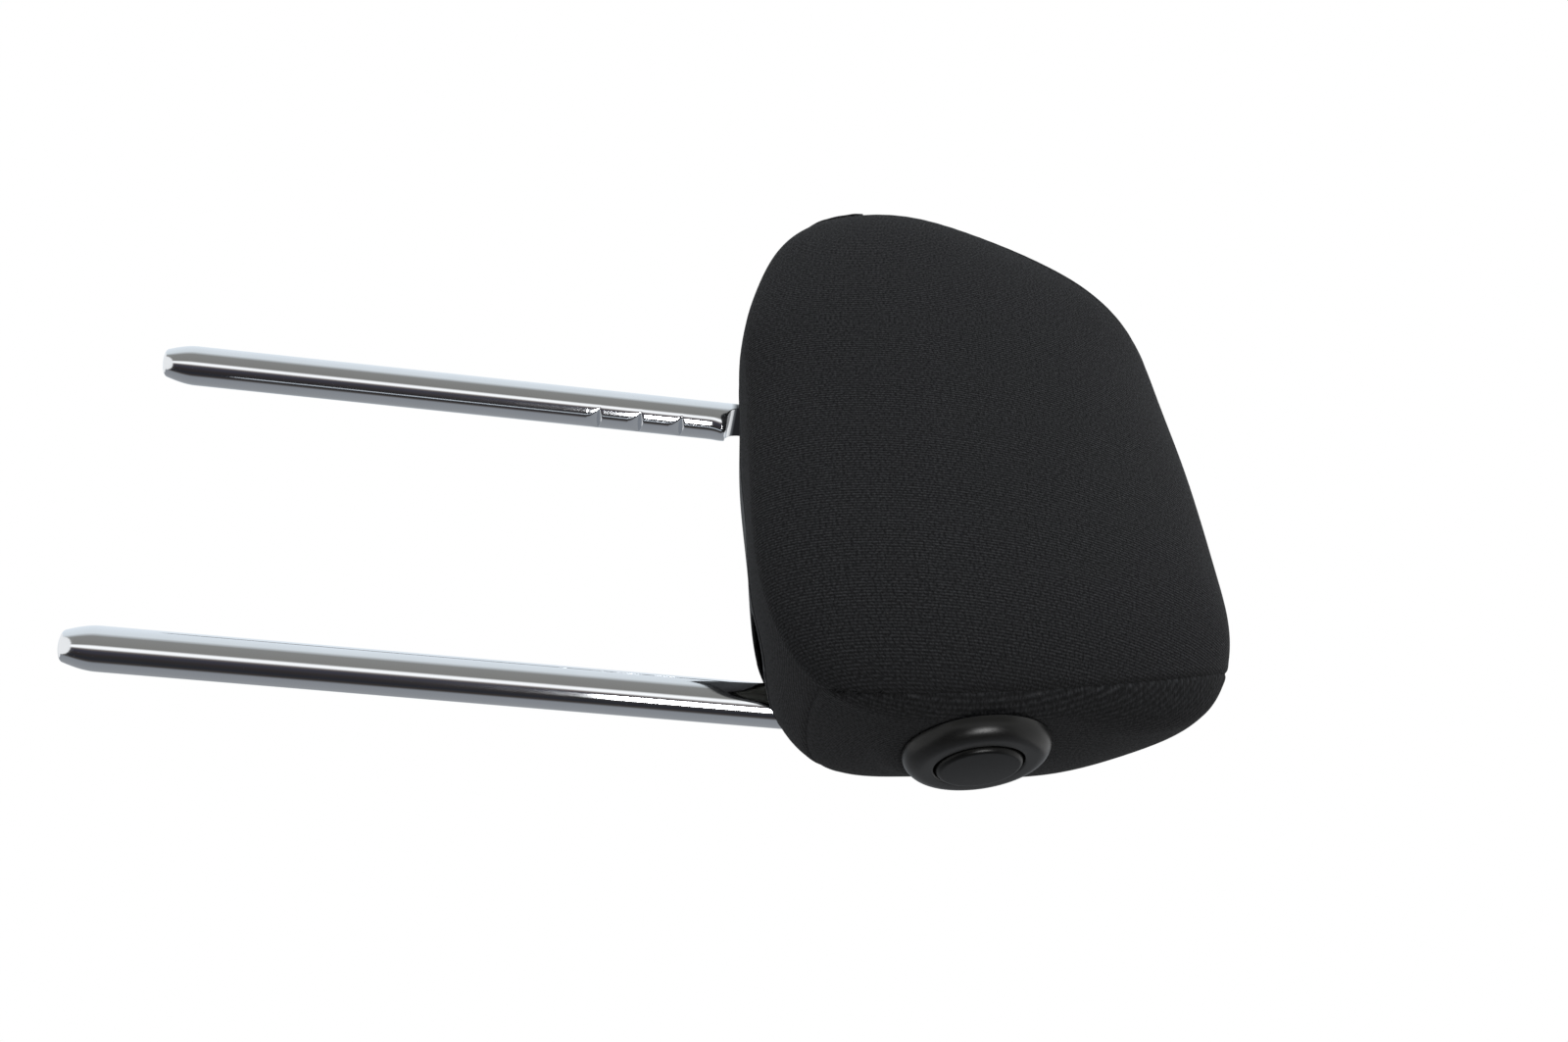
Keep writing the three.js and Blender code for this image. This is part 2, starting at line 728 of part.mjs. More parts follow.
// Lever that lifts the lining off the plate, with its pivot on the local origin
function lockLever() {
  const low = -leverHeight / 2;
  const high = leverHeight / 2;
  const rearArm = block(
    -leverThickness,
    0,
    0,
    liningMiddle.y + liningLength / 2 - leverPivot.y,
    low,
    high,
  );
  const frontArm = block(
    -leverThickness / 2,
    leverThickness / 2,
    -leverFrontArm - rodRadius - leverToe,
    0,
    low,
    high,
  );
  const boss = rod(leverBossRadius, low, high);
  const bore = rod(leverPinRadius + touchGap, low - through, high + through);
  return cut(join(rearArm, frontArm, boss), bore);
}

// Bezel ring around the button, a domed band that rises inwards, with a short skirt
function bezelRing() {
  const inner = buttonRadius + slideGap;
  const base = touchGap + bezelClearance;
  const profile = [[inner, -bezelSkirt], [housingRadius, -bezelSkirt], [housingRadius, base]];
  for (let i = 0; i <= 8; i += 1) {
    const angle = i / 8 * Math.PI / 2;
    profile.push([
      bezelCrownRadius + (bezelRadius - bezelCrownRadius) * Math.cos(angle),
      base + (bezelHeight - base) * Math.sin(angle),
    ]);
  }
  profile.push([inner + bezelLipRound, bezelHeight], [inner, bezelHeight - bezelLipRound]);
  profile.push([inner, -bezelSkirt]);
  return turned(profile, 36);
}

function buttonHousing() {
  const top = -bezelSkirt - touchGap;
  const bottom = -knobSink - housingDepth;
  const inner = buttonRadius + slideGap;
  const cup = turned([
    [stemRadius + slideGap, bottom],
    [housingRadius, bottom],
    [housingRadius, top],
    [inner, top],
    [inner, bottom + housingFloor],
    [stemRadius + slideGap, bottom + housingFloor],
    [stemRadius + slideGap, bottom],
  ], 32);
  const holes = housingScrewPlaces.map(([x, y]) => (
    rod(screwRadius + touchGap, bottom - through, 0).translate(x, y, 0)
  ));
  return cut(cup, ...holes);
}

// Push button: a shallow cap with a rounded rim and a stem on its underside
function pushButton() {
  const low = buttonProud - buttonSkirtDepth;
  const ceiling = buttonProud - buttonWall;
  const profile = [[0, -stemEnd], [stemRadius, -stemEnd], [stemRadius, ceiling]];
  profile.push([buttonRadius - buttonWall, ceiling], [buttonRadius - buttonWall, low]);
  profile.push([buttonRadius, low]);
  for (let i = 0; i <= 4; i += 1) {
    const angle = i / 4 * Math.PI / 2;
    profile.push([
      buttonRadius - buttonRim + buttonRim * Math.cos(angle),
      buttonProud - buttonRim + buttonRim * Math.sin(angle),
    ]);
  }
  profile.push([0, buttonProud]);
  return turned(profile, 32);
}

const housingScrewPlaces = [[0, housingScrewRadius], [0, -housingScrewRadius]];

// Rod that carries the button's travel to the lever, with a domed inner end
function releaseRod() {
  const length = rodOuterEnd - rodInnerEnd;
  const profile = [];
  for (let i = 0; i <= 4; i += 1) {
    const angle = i / 4 * Math.PI / 2;
    profile.push([rodRadius * Math.sin(angle), rodRadius * (1 - Math.cos(angle))]);
  }
  const headRadius = rodHeadRadius - rodHeadStep;
  profile.push([rodRadius, length - rodHeadLength], [headRadius, length - rodHeadLength]);
  profile.push([headRadius, length], [0, length]);
  return alongX(turned(profile, 20));
}

// The room that a post needs in the head as the head tilts: a wedge that opens downwards
function postChannel(x0, x1, low, gap) {
  const lean = Math.tan(degrees(tiltRange));
  const spread = (postRadius + gap) / Math.cos(degrees(tiltRange));
  const rear = postRadius + gap;
  const frontAt = (height) => -lean * (barHeight - height) - spread;
  return slabX([
    [rear, low],
    [rear, barHeight + rear],
    [-rear, barHeight + rear],
    [frontAt(barHeight), barHeight],
    [frontAt(low), low],
  ], x0, x1);
}

const belowPad = padBottom - coverThickness - 2 * through;
const bendLow = barHeight - bendRadius - postRadius;
const slotHalfWidth = postRadius + postGap + slideGap;
function postRoom(side, gap) {
  const outer = postOffset + slotHalfWidth;
  const inner = postOffset - slotHalfWidth;
  const span = (a, b) => (side > 0 ? [a, b] : [-b, -a]);
  return join(
    postChannel(...span(inner, outer), belowPad, gap),
    postChannel(...span(coreHalfWidth - through, postOffset), bendLow, gap),
  );
}

// Foam block, moulded with room for the core, the posts and the button's housing
function foamPad() {
  const whole = padSolid(coverThickness + foamGap);
  const grow = touchGap;
  const half = coreHalfWidth + grow;
  const frontRoom = slabX(frontOutline(-grow), -half, half);
  const rearRoom = slabX(rearOutline(-grow), -half, half);
  const housingRoom = inKnobFrame(rod(
    housingRadius + grow,
    -knobSink - housingDepth - flangeThickness - 2 * grow,
    bezelHeight,
    32,
  ));
  const tubeRoom = alongX(rod(rodTubeOuter + grow, coreHalfWidth - through, rodTubeEnd + grow))
    .translate(0, rodLine.y, rodLine.z);
  return cut(
    whole,
    frontRoom,
    rearRoom,
    postRoom(-1, postGap),
    postRoom(1, postGap),
    housingRoom,
    tubeRoom,
  );
}

// Bottom cover, a moulded strip in the cover with a slot for each post
const slotFront = -Math.tan(degrees(tiltRange)) * (barHeight - padBottom)
  - (postRadius + postGap) / Math.cos(degrees(tiltRange));
const slotRear = postRadius + postGap;
const bottomShape = (grow) => roundedRectangle(
  -bottomCoverHalfWidth - grow,
  bottomCoverHalfWidth + grow,
  slotFront - bottomCoverMargin - grow,
  slotRear + bottomCoverMargin + grow,
  slotHalfWidth,
);
const postSlots = () => [-1, 1].map((side) => slabZ(roundedRectangle(
  side * postOffset - slotHalfWidth,
  side * postOffset + slotHalfWidth,
  slotFront,
  slotRear,
  slotCorner,
), belowPad - through, padMiddle));
function bottomCover() {
  const shell = cut(padSolid(0), padSolid(coverThickness));
  const strip = overlap(shell, slabZ(bottomShape(0), belowPad, padBottom + bottomCoverRise));
  return cut(strip, ...postSlots());
}

// Scene graph
const headrest = new THREE.Group();
const stay = new THREE.Group();
const head = new THREE.Group();
const knob = new THREE.Group();
const bar = new THREE.Group();
knob.position.copy(knobPlace);
knob.quaternion.copy(knobTurning);
bar.position.set(0, 0, barHeight);
headrest.add(stay, head);
head.add(knob);
stay.add(bar);

function add(parent, name, geometry, meshMaterial, x = 0, y = 0, z = 0) {
  const mesh = new THREE.Mesh(geometry, meshMaterial);
  mesh.name = name;
  mesh.position.set(x, y, z);
  parent.add(mesh);
  return mesh;
}

add(stay, 'stay_frame', cut(stayRod(), ...notchCutters()), chrome);
add(bar, 'lock_plate', lockPlate(), steel, plateOffset);

add(head, 'core_rear', coreRearShell(), corePlastic);
add(head, 'core_front', coreFrontShell(), corePlastic);
screwPlaces.forEach(([x, z], i) => {
  const turnedScrew = alongY(screw(screwLength));
  add(head, `core_screw_${i + 1}`, turnedScrew, steel, x, bossSeat + touchGap, z);
});
const bushStart = coreHalfWidth - bearingLength - bushFlangeLength - touchGap;
add(head, 'pivot_bush_near', pivotBush(), bushPlastic, bushStart, 0, barHeight);
const farBush = add(head, 'pivot_bush_far', pivotBush(), bushPlastic, -bushStart, 0, barHeight);
farBush.rotation.z = Math.PI;
farBush.rotation.x = Math.PI;

const liningBlock = () => block(
  0,
  liningThickness,
  -liningLength / 2,
  liningLength / 2,
  -liningHeight / 2,
  liningHeight / 2,
);
add(head, 'reaction_pad', liningBlock(), liningMaterial, ribFace, liningMiddle.y, liningMiddle.z);
add(
  head,
  'friction_lining',
  liningBlock(),
  liningMaterial,
  plateFace + touchGap,
  liningMiddle.y,
  liningMiddle.z,
);
add(head, 'lock_lever', lockLever(), steel, leverPivot.x, leverPivot.y, leverMiddle);
add(
  head,
  'lever_pin',
  rod(leverPinRadius, pinBottom + pinFloor + touchGap, pinTop),
  steel,
  leverPivot.x,
  leverPivot.y,
);
const leverSpringRoom = coreHalfWidth - coreWall - leverPivot.x - 2 * touchGap - leverSpring.wire;
add(
  head,
  'lever_spring',
  alongX(wire(
    new Coil(leverSpring.radius, leverSpring.turns, leverSpringRoom),
    leverSpring.wire / 2,
    60,
  )),
  springSteel,
  leverPivot.x + touchGap + leverSpring.wire / 2,
  liningMiddle.y,
  liningMiddle.z,
);
add(head, 'release_rod', releaseRod(), steel, rodInnerEnd, rodLine.y, rodLine.z);

add(knob, 'bezel_ring', bezelRing(), trimPlastic);
add(knob, 'button_housing', buttonHousing(), corePlastic);
add(knob, 'push_button', pushButton(), trimPlastic);
housingScrewPlaces.forEach(([x, y], i) => {
  const seat = -knobSink - housingDepth + housingFloor + touchGap;
  add(knob, `housing_screw_${i + 1}`, screw(housingFloor + flangeThickness), steel, x, y, seat);
});
const springFloor = -knobSink - housingDepth + housingFloor + touchGap + buttonSpring.wire / 2;
const springCeiling = buttonProud - buttonWall - touchGap - buttonSpring.wire / 2;
add(
  knob,
  'button_spring',
  wire(
    new Coil(buttonSpring.radius, buttonSpring.turns, springCeiling - springFloor),
    buttonSpring.wire / 2,
    70,
  ),
  springSteel,
  0,
  0,
  springFloor,
);

add(head, 'foam_pad', foamPad(), foamMaterial);
const bottomOpening = slabZ(
  bottomShape(touchGap),
  belowPad,
  padBottom + bottomCoverRise + touchGap,
);
add(head, 'cover_centre', cut(centrePanel(), bottomOpening, ...postSlots()), fabric);
const fabricHole = inKnobFrame(rod(housingRadius + touchGap, -flangeCup, flangeCup, 32));
add(head, 'cover_side_near', cut(sidePanel(1), fabricHole), fabric);
add(head, 'cover_side_far', sidePanel(-1), fabric);
add(head, 'bottom_cover', bottomCover(), trimPlastic);

export default headrest;
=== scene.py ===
import math
import bmesh
import bpy
import numpy as np
from mathutils import Matrix, Vector


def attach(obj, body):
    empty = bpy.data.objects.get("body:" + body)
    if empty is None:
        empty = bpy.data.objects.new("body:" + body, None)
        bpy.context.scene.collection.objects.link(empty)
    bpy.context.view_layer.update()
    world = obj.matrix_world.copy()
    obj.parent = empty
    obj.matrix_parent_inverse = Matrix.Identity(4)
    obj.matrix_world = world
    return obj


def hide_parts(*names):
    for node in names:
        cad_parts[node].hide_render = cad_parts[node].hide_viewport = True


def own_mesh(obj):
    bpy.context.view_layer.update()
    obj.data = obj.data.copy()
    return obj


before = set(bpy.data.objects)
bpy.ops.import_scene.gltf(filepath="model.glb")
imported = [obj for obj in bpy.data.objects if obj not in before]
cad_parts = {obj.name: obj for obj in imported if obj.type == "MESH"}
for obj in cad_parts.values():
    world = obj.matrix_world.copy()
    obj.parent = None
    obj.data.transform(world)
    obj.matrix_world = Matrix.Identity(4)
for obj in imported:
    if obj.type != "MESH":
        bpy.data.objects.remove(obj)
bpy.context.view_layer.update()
print("headrest frame loaded")

mm = 0.001

def linear(hexColour):
    # sRGB hex to linear: (c / 12.92) in the dark part, ((c + 0.055) / 1.055) ^ 2.4 above it
    parts = [int(hexColour[i:i + 2], 16) / 255 for i in (1, 3, 5)]
    light = [c / 12.92 if c <= 0.04045 else ((c + 0.055) / 1.055) ** 2.4 for c in parts]
    return (*light, 1.0)


def smoothStep(x, low, high):
    # 3t^2 - 2t^3, with t the share of the way from low to high
    t = np.clip((x - low) / (high - low), 0, 1)
    return t * t * (3 - 2 * t)


# padded head: half sizes of a rounded block, shallow at the front and deep at the rear
head = {
    "bottom": 200.7, "halfHeight": 78.3, "halfWidth": 109.3, "widestAt": -55.2,
    "front": 21.0, "rear": 81.0, "lean": 11.6, "leanCurve": 7.2,
    "edgeBow": 0.6, "edgeRise": 1.3, "edgeSpread": 1.2,
    "taperUp": -0.106, "taperUpCurve": 0.079, "taperRear": -0.114,
    "frontTaper": 0.127, "rearTaper": -0.305,
    "edgePower": 2.05, "lowRearPower": 2.0, "sidePower": 2.63, "frontSidePower": 0.95,
}


def roundedUnit(angle, power):
    # a point on |c|^p + |s|^p = 1 in the direction of the angle
    c, s = np.cos(angle), np.sin(angle)
    reach = (np.abs(c) ** power + np.abs(s) ** power) ** (-1 / power)
    return reach * c, reach * s


def plainHead(across, around):
    # a rounded section turned about X (around), squeezed towards each side (across):
    # depth tapers with height, width tapers upwards and rearwards, and the section leans back
    low = np.maximum(0, -np.sin(around)) ** 2 * np.maximum(0, np.cos(around)) ** 2
    frontShare = (1 - np.cos(around)) / 2
    rearward, upward = roundedUnit(around, head["edgePower"] + head["lowRearPower"] * low)
    reach, side = roundedUnit(across, head["sidePower"] + head["frontSidePower"] * frontShare)
    y, z = reach * rearward, reach * upward
    depth = np.where(y < 0, head["front"] * (1 + head["frontTaper"] * z),
                     head["rear"] * (1 + head["rearTaper"] * z))
    width = (1 + head["taperUp"] * z + head["taperUpCurve"] * z * z
             + head["taperRear"] * depth * y / head["rear"])
    bow = side * side
    return np.stack([
        head["halfWidth"] * width * side,
        head["widestAt"] + head["lean"] * z + head["leanCurve"] * z * z + depth * y
        + head["edgeBow"] * bow,
        head["bottom"] + head["halfHeight"] * (1 + z)
        + (head["edgeRise"] + head["edgeSpread"] * z) * bow,
    ], axis=-1)


# release button and its ring: place on the side, ring, button and the cloth's seat round them
knob = {
    "across": 79.7, "around": -53.0, "turn": 11.25, "lift": 6.5, "sink": 0.2,
    "ringInner": 12.9, "ringOuter": 21.4, "ringCrown": 16.0, "ringHeight": 6.1,
    "ringBase": 0.5, "lip": 0.8, "skirt": 1.2, "skirtRadius": 14.9,
    "blend": 12.0, "reach": 2.0, "reachEnd": 9.0, "seamBlend": 0.25,
    "holeRadius": 15.2, "buttonRadius": 12.4, "buttonProud": 7.3, "buttonRim": 1.6,
    "buttonSkirt": 4.1, "buttonDome": 0.25, "stemRadius": 3.0, "stemEnd": 19.7, "wall": 2.0,
    "footIn": 0.3, "footSink": 0.2, "sideFrom": 60, "farAway": 50.0,
    "segments": 160, "bandSteps": 28, "lipSteps": 10, "rimSteps": 14, "domeSteps": 12,
}

turn, lift = math.radians(knob["turn"]), math.radians(knob["lift"])
knobNormal = np.array([math.cos(lift) * math.cos(turn), math.cos(lift) * math.sin(turn),
                       math.sin(lift)])
knobPlace = (plainHead(np.radians(knob["across"]), np.radians(knob["around"]))
             - knob["sink"] * knobNormal)


# cover's seams: where they run, how deep the stitching draws the cloth in, and its puckers
seam = {
    "mean": 0.795, "rear": -0.112, "top": -0.119, "ends": 0.067,
    "dip": 0.4, "dipWidth": 0.9, "roll": 0.12, "rollAt": 3.0, "rollWidth": 1.8,
    "pucker": 0.04, "puckerPitch": 6.0, "puckerWidth": 3.0,
}


def seamAt(around):
    # mean + rear cos a + top sin a + ends cos 2a, in radians across
    return (seam["mean"] + seam["rear"] * np.cos(around) + seam["top"] * np.sin(around)
            + seam["ends"] * np.cos(2 * around))


def headForm(across, around):
    # the plain form, pressed on to the ring's plane near the knob's axis on the button side
    points = plainHead(across, around)
    offset = points - knobPlace
    proud = offset @ knobNormal
    distance = np.sqrt(np.maximum(0, (offset ** 2).sum(-1) - proud ** 2))
    near = 1 - smoothStep(distance, knob["ringOuter"], knob["ringOuter"] + knob["blend"])
    level = 1 - smoothStep(np.abs(proud), knob["reach"], knob["reachEnd"])
    fromSeam = smoothStep(across, seamAt(around), seamAt(around) + knob["seamBlend"])
    press = proud * near * level * fromSeam * (across > 0)
    return points - press[..., None] * knobNormal


# how far the columns crowd towards the seams: a power on the sides, a share in the middle
crowding = {"sidePower": 0.9, "middleShare": 0.35}


def headGrid(sideColumns, centreColumns, rows):
    # columns run across from the far pole to the near pole, with both seams on a column,
    # and are closer together at the seams: share = sin(pi t / 2) from the middle of a panel
    around = np.arange(rows) / rows * 2 * np.pi
    edge = seamAt(around)[None, :]
    t = np.linspace(0, 1, sideColumns + 1)[:-1, None]
    farSide = -(np.pi / 2 + (edge - np.pi / 2) * np.sin(t * np.pi / 2) ** crowding["sidePower"])
    c = np.linspace(-1, 1, centreColumns + 1)[:, None]
    share = crowding["middleShare"]
    middle = edge * np.sin(c * np.pi / 2) * share + edge * c * (1 - share)
    across = np.concatenate([farSide, middle, -farSide[::-1]])
    return across, np.broadcast_to(around, across.shape)


def headNormals(points):
    # cross product of the steps across and around; at a pole the next column's mean is used
    stepAcross = np.gradient(points, axis=0)
    stepAround = np.roll(points, -1, axis=1) - np.roll(points, 1, axis=1)
    normals = np.cross(stepAround, stepAcross)
    size = np.linalg.norm(normals, axis=-1, keepdims=True)
    normals = normals / np.maximum(size, 1e-9)
    normals[0], normals[-1] = normals[1].mean(0), normals[-2].mean(0)
    normals /= np.linalg.norm(normals, axis=-1, keepdims=True)
    middle = points.mean((0, 1))
    sign = np.sign(((points - middle) * normals).sum(-1).mean())
    return normals * sign


def gridFaces(columns, rows):
    # quads between neighbouring columns and rows; each column closes on itself
    i = np.arange(columns - 1)[:, None] * rows
    j = np.arange(rows)[None, :]
    k = (j + 1) % rows
    return np.stack([i + j, i + k, i + rows + k, i + rows + j], -1).reshape(-1, 4)


def makeMesh(name, points, faces, uv=None):
    # puts points (mm) and faces into a mesh of metres, leaves out unused points, and turns
    # the faces out where the signed volume about the middle is negative
    used, inverse = np.unique(faces.ravel(), return_inverse=True)
    faces = inverse.reshape(faces.shape)
    points = points[used]
    middle = points.mean(0)
    a, b, c = (points[faces[:, n]] - middle for n in (0, 1, 2))
    if (a * np.cross(b, c)).sum() < 0:
        faces = faces[:, ::-1]
    mesh = bpy.data.meshes.new(name)
    mesh.from_pydata((points * mm).tolist(), [], faces.tolist())
    mesh.polygons.foreach_set("use_smooth", np.full(len(mesh.polygons), True))
    if uv is not None:
        corner = np.empty(len(mesh.loops), np.int32)
        mesh.loops.foreach_get("vertex_index", corner)
        layer = mesh.uv_layers.new(name="cloth")
        layer.data.foreach_set("uv", (uv[used] * mm)[corner].astype(np.float32).ravel())
    mesh.update()
    piece = bpy.data.objects.new(name, mesh)
    bpy.context.scene.collection.objects.link(piece)
    return piece


# trimming: steps taken, probe either side for the slope, least slope and longest move, mm
trimming = {"steps": 3, "probe": 0.1, "leastSlope": 0.15, "longestMove": 1.5}


def trimGrid(points, normals, faces, field):
    # keeps faces whose middle has a positive field, and slides the points of the new edge
    # along the surface to where the field is 0: p - f g / |g|^2, g in the tangent plane
    keep = field(points[faces].mean(1)) > 0
    kept, cutAway = np.unique(faces[keep]), np.unique(faces[~keep])
    edge = np.intersect1d(kept, cutAway)
    points = points.copy()
    probe, longest = trimming["probe"], trimming["longestMove"]
    for _ in range(trimming["steps"]):
        here = points[edge]
        value = field(here)
        slope = np.stack([
            (field(here + step) - field(here - step)) / (2 * probe)
            for step in np.eye(3) * probe
        ], -1)
        slope -= (slope * normals[edge]).sum(-1, keepdims=True) * normals[edge]
        size = np.maximum((slope ** 2).sum(-1), trimming["leastSlope"])
        move = -(value / size)[:, None] * slope
        points[edge] = here + np.clip(move, -longest, longest)
    return points, faces[keep]


def turnedMesh(name, profile, segments, place, axis):
    # [radius, height] points carried round an axis, then set at a place
    angle = np.arange(segments) / segments * 2 * np.pi
    profile = np.array(profile)
    radius, height = profile[:, :1], profile[:, 1:]
    local = np.stack([radius * np.cos(angle), radius * np.sin(angle),
                      height + 0 * angle], -1)
    spin = np.array(Vector((0, 0, 1)).rotation_difference(Vector(axis)).to_matrix())
    points = local @ spin.T + place
    faces = gridFaces(len(profile), segments)
    piece = makeMesh(name, points.reshape(-1, 3), faces)
    weldDoubles(piece)
    return piece


def weldDoubles(piece, closed=True):
    # merges the points at a pole and, on a closed form, turns all faces outwards; on an open
    # sheet that turn has no outside to go by, so makeMesh's own order of points is kept
    work = bmesh.new()
    work.from_mesh(piece.data)
    bmesh.ops.remove_doubles(work, verts=work.verts, dist=2e-6)
    if closed:
        bmesh.ops.recalc_face_normals(work, faces=work.faces)
    work.to_mesh(piece.data)
    work.free()
    piece.data.polygons.foreach_set("use_smooth", np.full(len(piece.data.polygons), True))


def addNode(tree, kind, links=None, **settings):
    # one node with its settings; links maps an input's name or number to a socket or a value
    node = tree.nodes.new(kind)
    for key, value in settings.items():
        setattr(node, key, value)
    for key, value in (links or {}).items():
        if isinstance(value, bpy.types.NodeSocket):
            tree.links.new(value, node.inputs[key])
        else:
            node.inputs[key].default_value = value
    return node


def startMaterial(name, **sockets):
    material = bpy.data.materials.new(name)
    material.use_nodes = True
    tree = material.node_tree
    shader = tree.nodes["Principled BSDF"]
    for key, value in sockets.items():
        shader.inputs[key.replace("_", " ")].default_value = value
    return material, tree, shader


def mixColours(tree, share, first, second):
    # first where the share is 0, second where it is 1
    mix = addNode(tree, "ShaderNodeMix", {0: share, 6: first, 7: second}, data_type="RGBA")
    return mix.outputs[2]


def mottle(tree, coordinate, cellMm, detail=3.0):
    # cloudy noise with cells of a real size
    return addNode(tree, "ShaderNodeTexNoise", {
        "Vector": coordinate, "Scale": 1 / (cellMm * mm), "Detail": detail, "Roughness": 0.55,
    }).outputs[0]


def sums(tree, operation, a, b):
    return addNode(tree, "ShaderNodeMath", {0: a, 1: b}, operation=operation).outputs[0]


def polyesterKnit():
    # polyester circular knit laminated to foam: soft, matt, with fine ribs and stray lint
    material, tree, shader = startMaterial(
        "polyesterKnit", Roughness=0.92, Specular_IOR_Level=0.2, Sheen_Weight=0.03,
        Sheen_Roughness=0.45)
    knit = {"rib": 1.05, "course": 0.85, "lint": 3.2}  # mm; a rib is two real wales, to show
    cloth = addNode(tree, "ShaderNodeUVMap", uv_map="cloth").outputs[0]
    axes = addNode(tree, "ShaderNodeSeparateXYZ", {0: cloth})
    ribs = sums(tree, "SINE", sums(tree, "MULTIPLY", axes.outputs[0],
                                   2 * math.pi / (knit["rib"] * mm)), 0.0)
    courses = sums(tree, "SINE", sums(tree, "MULTIPLY", axes.outputs[1],
                                      2 * math.pi / (knit["course"] * mm)), 0.0)
    loops = sums(tree, "ADD", sums(tree, "MULTIPLY", courses, 0.35), ribs)
    fuzz = mottle(tree, cloth, 0.4, 4.0)
    height = sums(tree, "ADD", loops, sums(tree, "MULTIPLY", fuzz, 1.6))
    broad = mottle(tree, cloth, 28.0)
    yarn = addNode(tree, "ShaderNodeMapRange", {
        0: mottle(tree, cloth, 0.85, 3.0), 1: 0.38, 2: 0.62}).outputs[0]
    ground = mixColours(tree, broad, linear("#1b1c1e"), linear("#212123"))
    shade = mixColours(tree, sums(tree, "MULTIPLY", yarn, 0.8), ground, linear("#525356"))
    ribShade = sums(tree, "ADD", sums(tree, "MULTIPLY", ribs, 0.32), 0.32)
    shade = mixColours(tree, ribShade, shade, linear("#101112"))
    dots = addNode(tree, "ShaderNodeTexVoronoi", {
        "Vector": cloth, "Scale": 1 / (knit["lint"] * mm), "Randomness": 1.0,
    }, voronoi_dimensions="2D")
    # one cell in twelve holds a speck, each of its own size
    chance = addNode(tree, "ShaderNodeSeparateColor", {0: dots.outputs["Color"]})
    size = sums(tree, "MULTIPLY", chance.outputs[1], 0.055)
    speck = sums(tree, "MULTIPLY", sums(tree, "LESS_THAN", dots.outputs["Distance"], size),
                 sums(tree, "GREATER_THAN", chance.outputs[0], 0.92))
    shade = mixColours(tree, sums(tree, "MULTIPLY", speck, 0.45), shade, linear("#7c7a78"))
    tree.links.new(shade, shader.inputs["Base Color"])
    bump = addNode(tree, "ShaderNodeBump", {"Strength": 0.42, "Distance": 0.0002,
                                            "Height": height})
    tree.links.new(bump.outputs[0], shader.inputs["Normal"])
    return material


def platedSteel():
    # steel rod polished and chrome plated: a clear mirror, with faint draw lines, handling haze
    # and painted shade on the far post's neck
    material, tree, shader = startMaterial("chromePlatedSteel", Metallic=1.0)
    place = addNode(tree, "ShaderNodeTexCoord").outputs["Object"]
    stretched = addNode(tree, "ShaderNodeMapping", {0: place, 3: (1, 1, 0.06)}).outputs[0]
    lines = mottle(tree, stretched, 1.1, 5.0)
    haze = mottle(tree, place, 18.0)
    rough = addNode(tree, "ShaderNodeMapRange", {0: haze, 3: 0.045, 4: 0.1}).outputs[0]
    tree.links.new(rough, shader.inputs["Roughness"])
    # painted shade: the far post's neck, in the pad's shade and mirroring it, darkens between two
    # heights
    axes = addNode(tree, "ShaderNodeSeparateXYZ", {0: place})
    neckPaintedShade = addNode(tree, "ShaderNodeMapRange", {
        0: axes.outputs[2], 1: 202.4 * mm, 2: 204.5 * mm, 4: 0.95}).outputs[0]
    neckPaintedShade = sums(tree, "MULTIPLY", neckPaintedShade, sums(tree, "LESS_THAN", axes.outputs[0], 0.0))
    plain = mixColours(tree, haze, linear("#e9ebee"), linear("#e1e4e7"))
    # the near black here is painted shade, blended over the plain chrome on the neck
    tree.links.new(mixColours(tree, neckPaintedShade, plain, linear("#1c1c1e")), shader.inputs["Base Color"])
    bump = addNode(tree, "ShaderNodeBump", {"Strength": 0.05, "Distance": 0.00004,
                                            "Height": lines})
    tree.links.new(bump.outputs[0], shader.inputs["Normal"])
    return material


def mouldedFinish(name, low, high, roughness, grainMm, depth, metallic=0.0, contrast=0.08,
                  mirror=0.5):
    # a moulded, sintered or plated surface: two close tones, uneven gloss and a fine grain
    material, tree, shader = startMaterial(name, Metallic=metallic, Specular_IOR_Level=mirror)
    place = addNode(tree, "ShaderNodeTexCoord").outputs["Object"]
    clouds = mottle(tree, place, 14.0)
    grain = mottle(tree, place, grainMm, 4.0)
    tree.links.new(mixColours(tree, clouds, linear(low), linear(high)),
                   shader.inputs["Base Color"])
    rough = addNode(tree, "ShaderNodeMapRange", {
        0: grain, 3: roughness - contrast, 4: roughness + contrast}).outputs[0]
    tree.links.new(rough, shader.inputs["Roughness"])
    bump = addNode(tree, "ShaderNodeBump", {"Strength": 0.35, "Distance": depth * mm,
                                            "Height": grain})
    tree.links.new(bump.outputs[0], shader.inputs["Normal"])
    return material


knitFabric = polyesterKnit()
chromePlate = platedSteel()
ringPlastic = mouldedFinish("polypropyleneTrim", "#30302f", "#363635", 0.31, 0.6, 0.03,
                            mirror=0.22)
buttonPlastic = mouldedFinish("polypropyleneButton", "#181817", "#1d1d1c", 0.34, 0.5, 0.03,
                              mirror=0.16)
bottomPlastic = mouldedFinish("polypropyleneEscutcheon", "#2a2a2c", "#303032", 0.6, 0.8, 0.05,
                              mirror=0.1)
corePlastic = mouldedFinish("glassFilledNylon", "#2c2d2f", "#343538", 0.55, 0.7, 0.05)
bushPlastic = mouldedFinish("acetalBush", "#cfcbbd", "#d8d4c6", 0.38, 1.2, 0.01)
zincSteel = mouldedFinish("zincPlatedSteel", "#a4a7aa", "#8f9296", 0.34, 0.9, 0.01, 1.0)
springSteel = mouldedFinish("drawnSpringWire", "#6a6d72", "#55585d", 0.32, 0.4, 0.01, 1.0)
liningCompound = mouldedFinish("frictionCompound", "#4a3d33", "#5a4a3c", 0.85, 0.5, 0.08)
padFoam = mouldedFinish("polyurethaneFoam", "#6f6f6a", "#7b7a72", 0.95, 0.6, 0.3, 0.0, 0.04)
print("materials made")


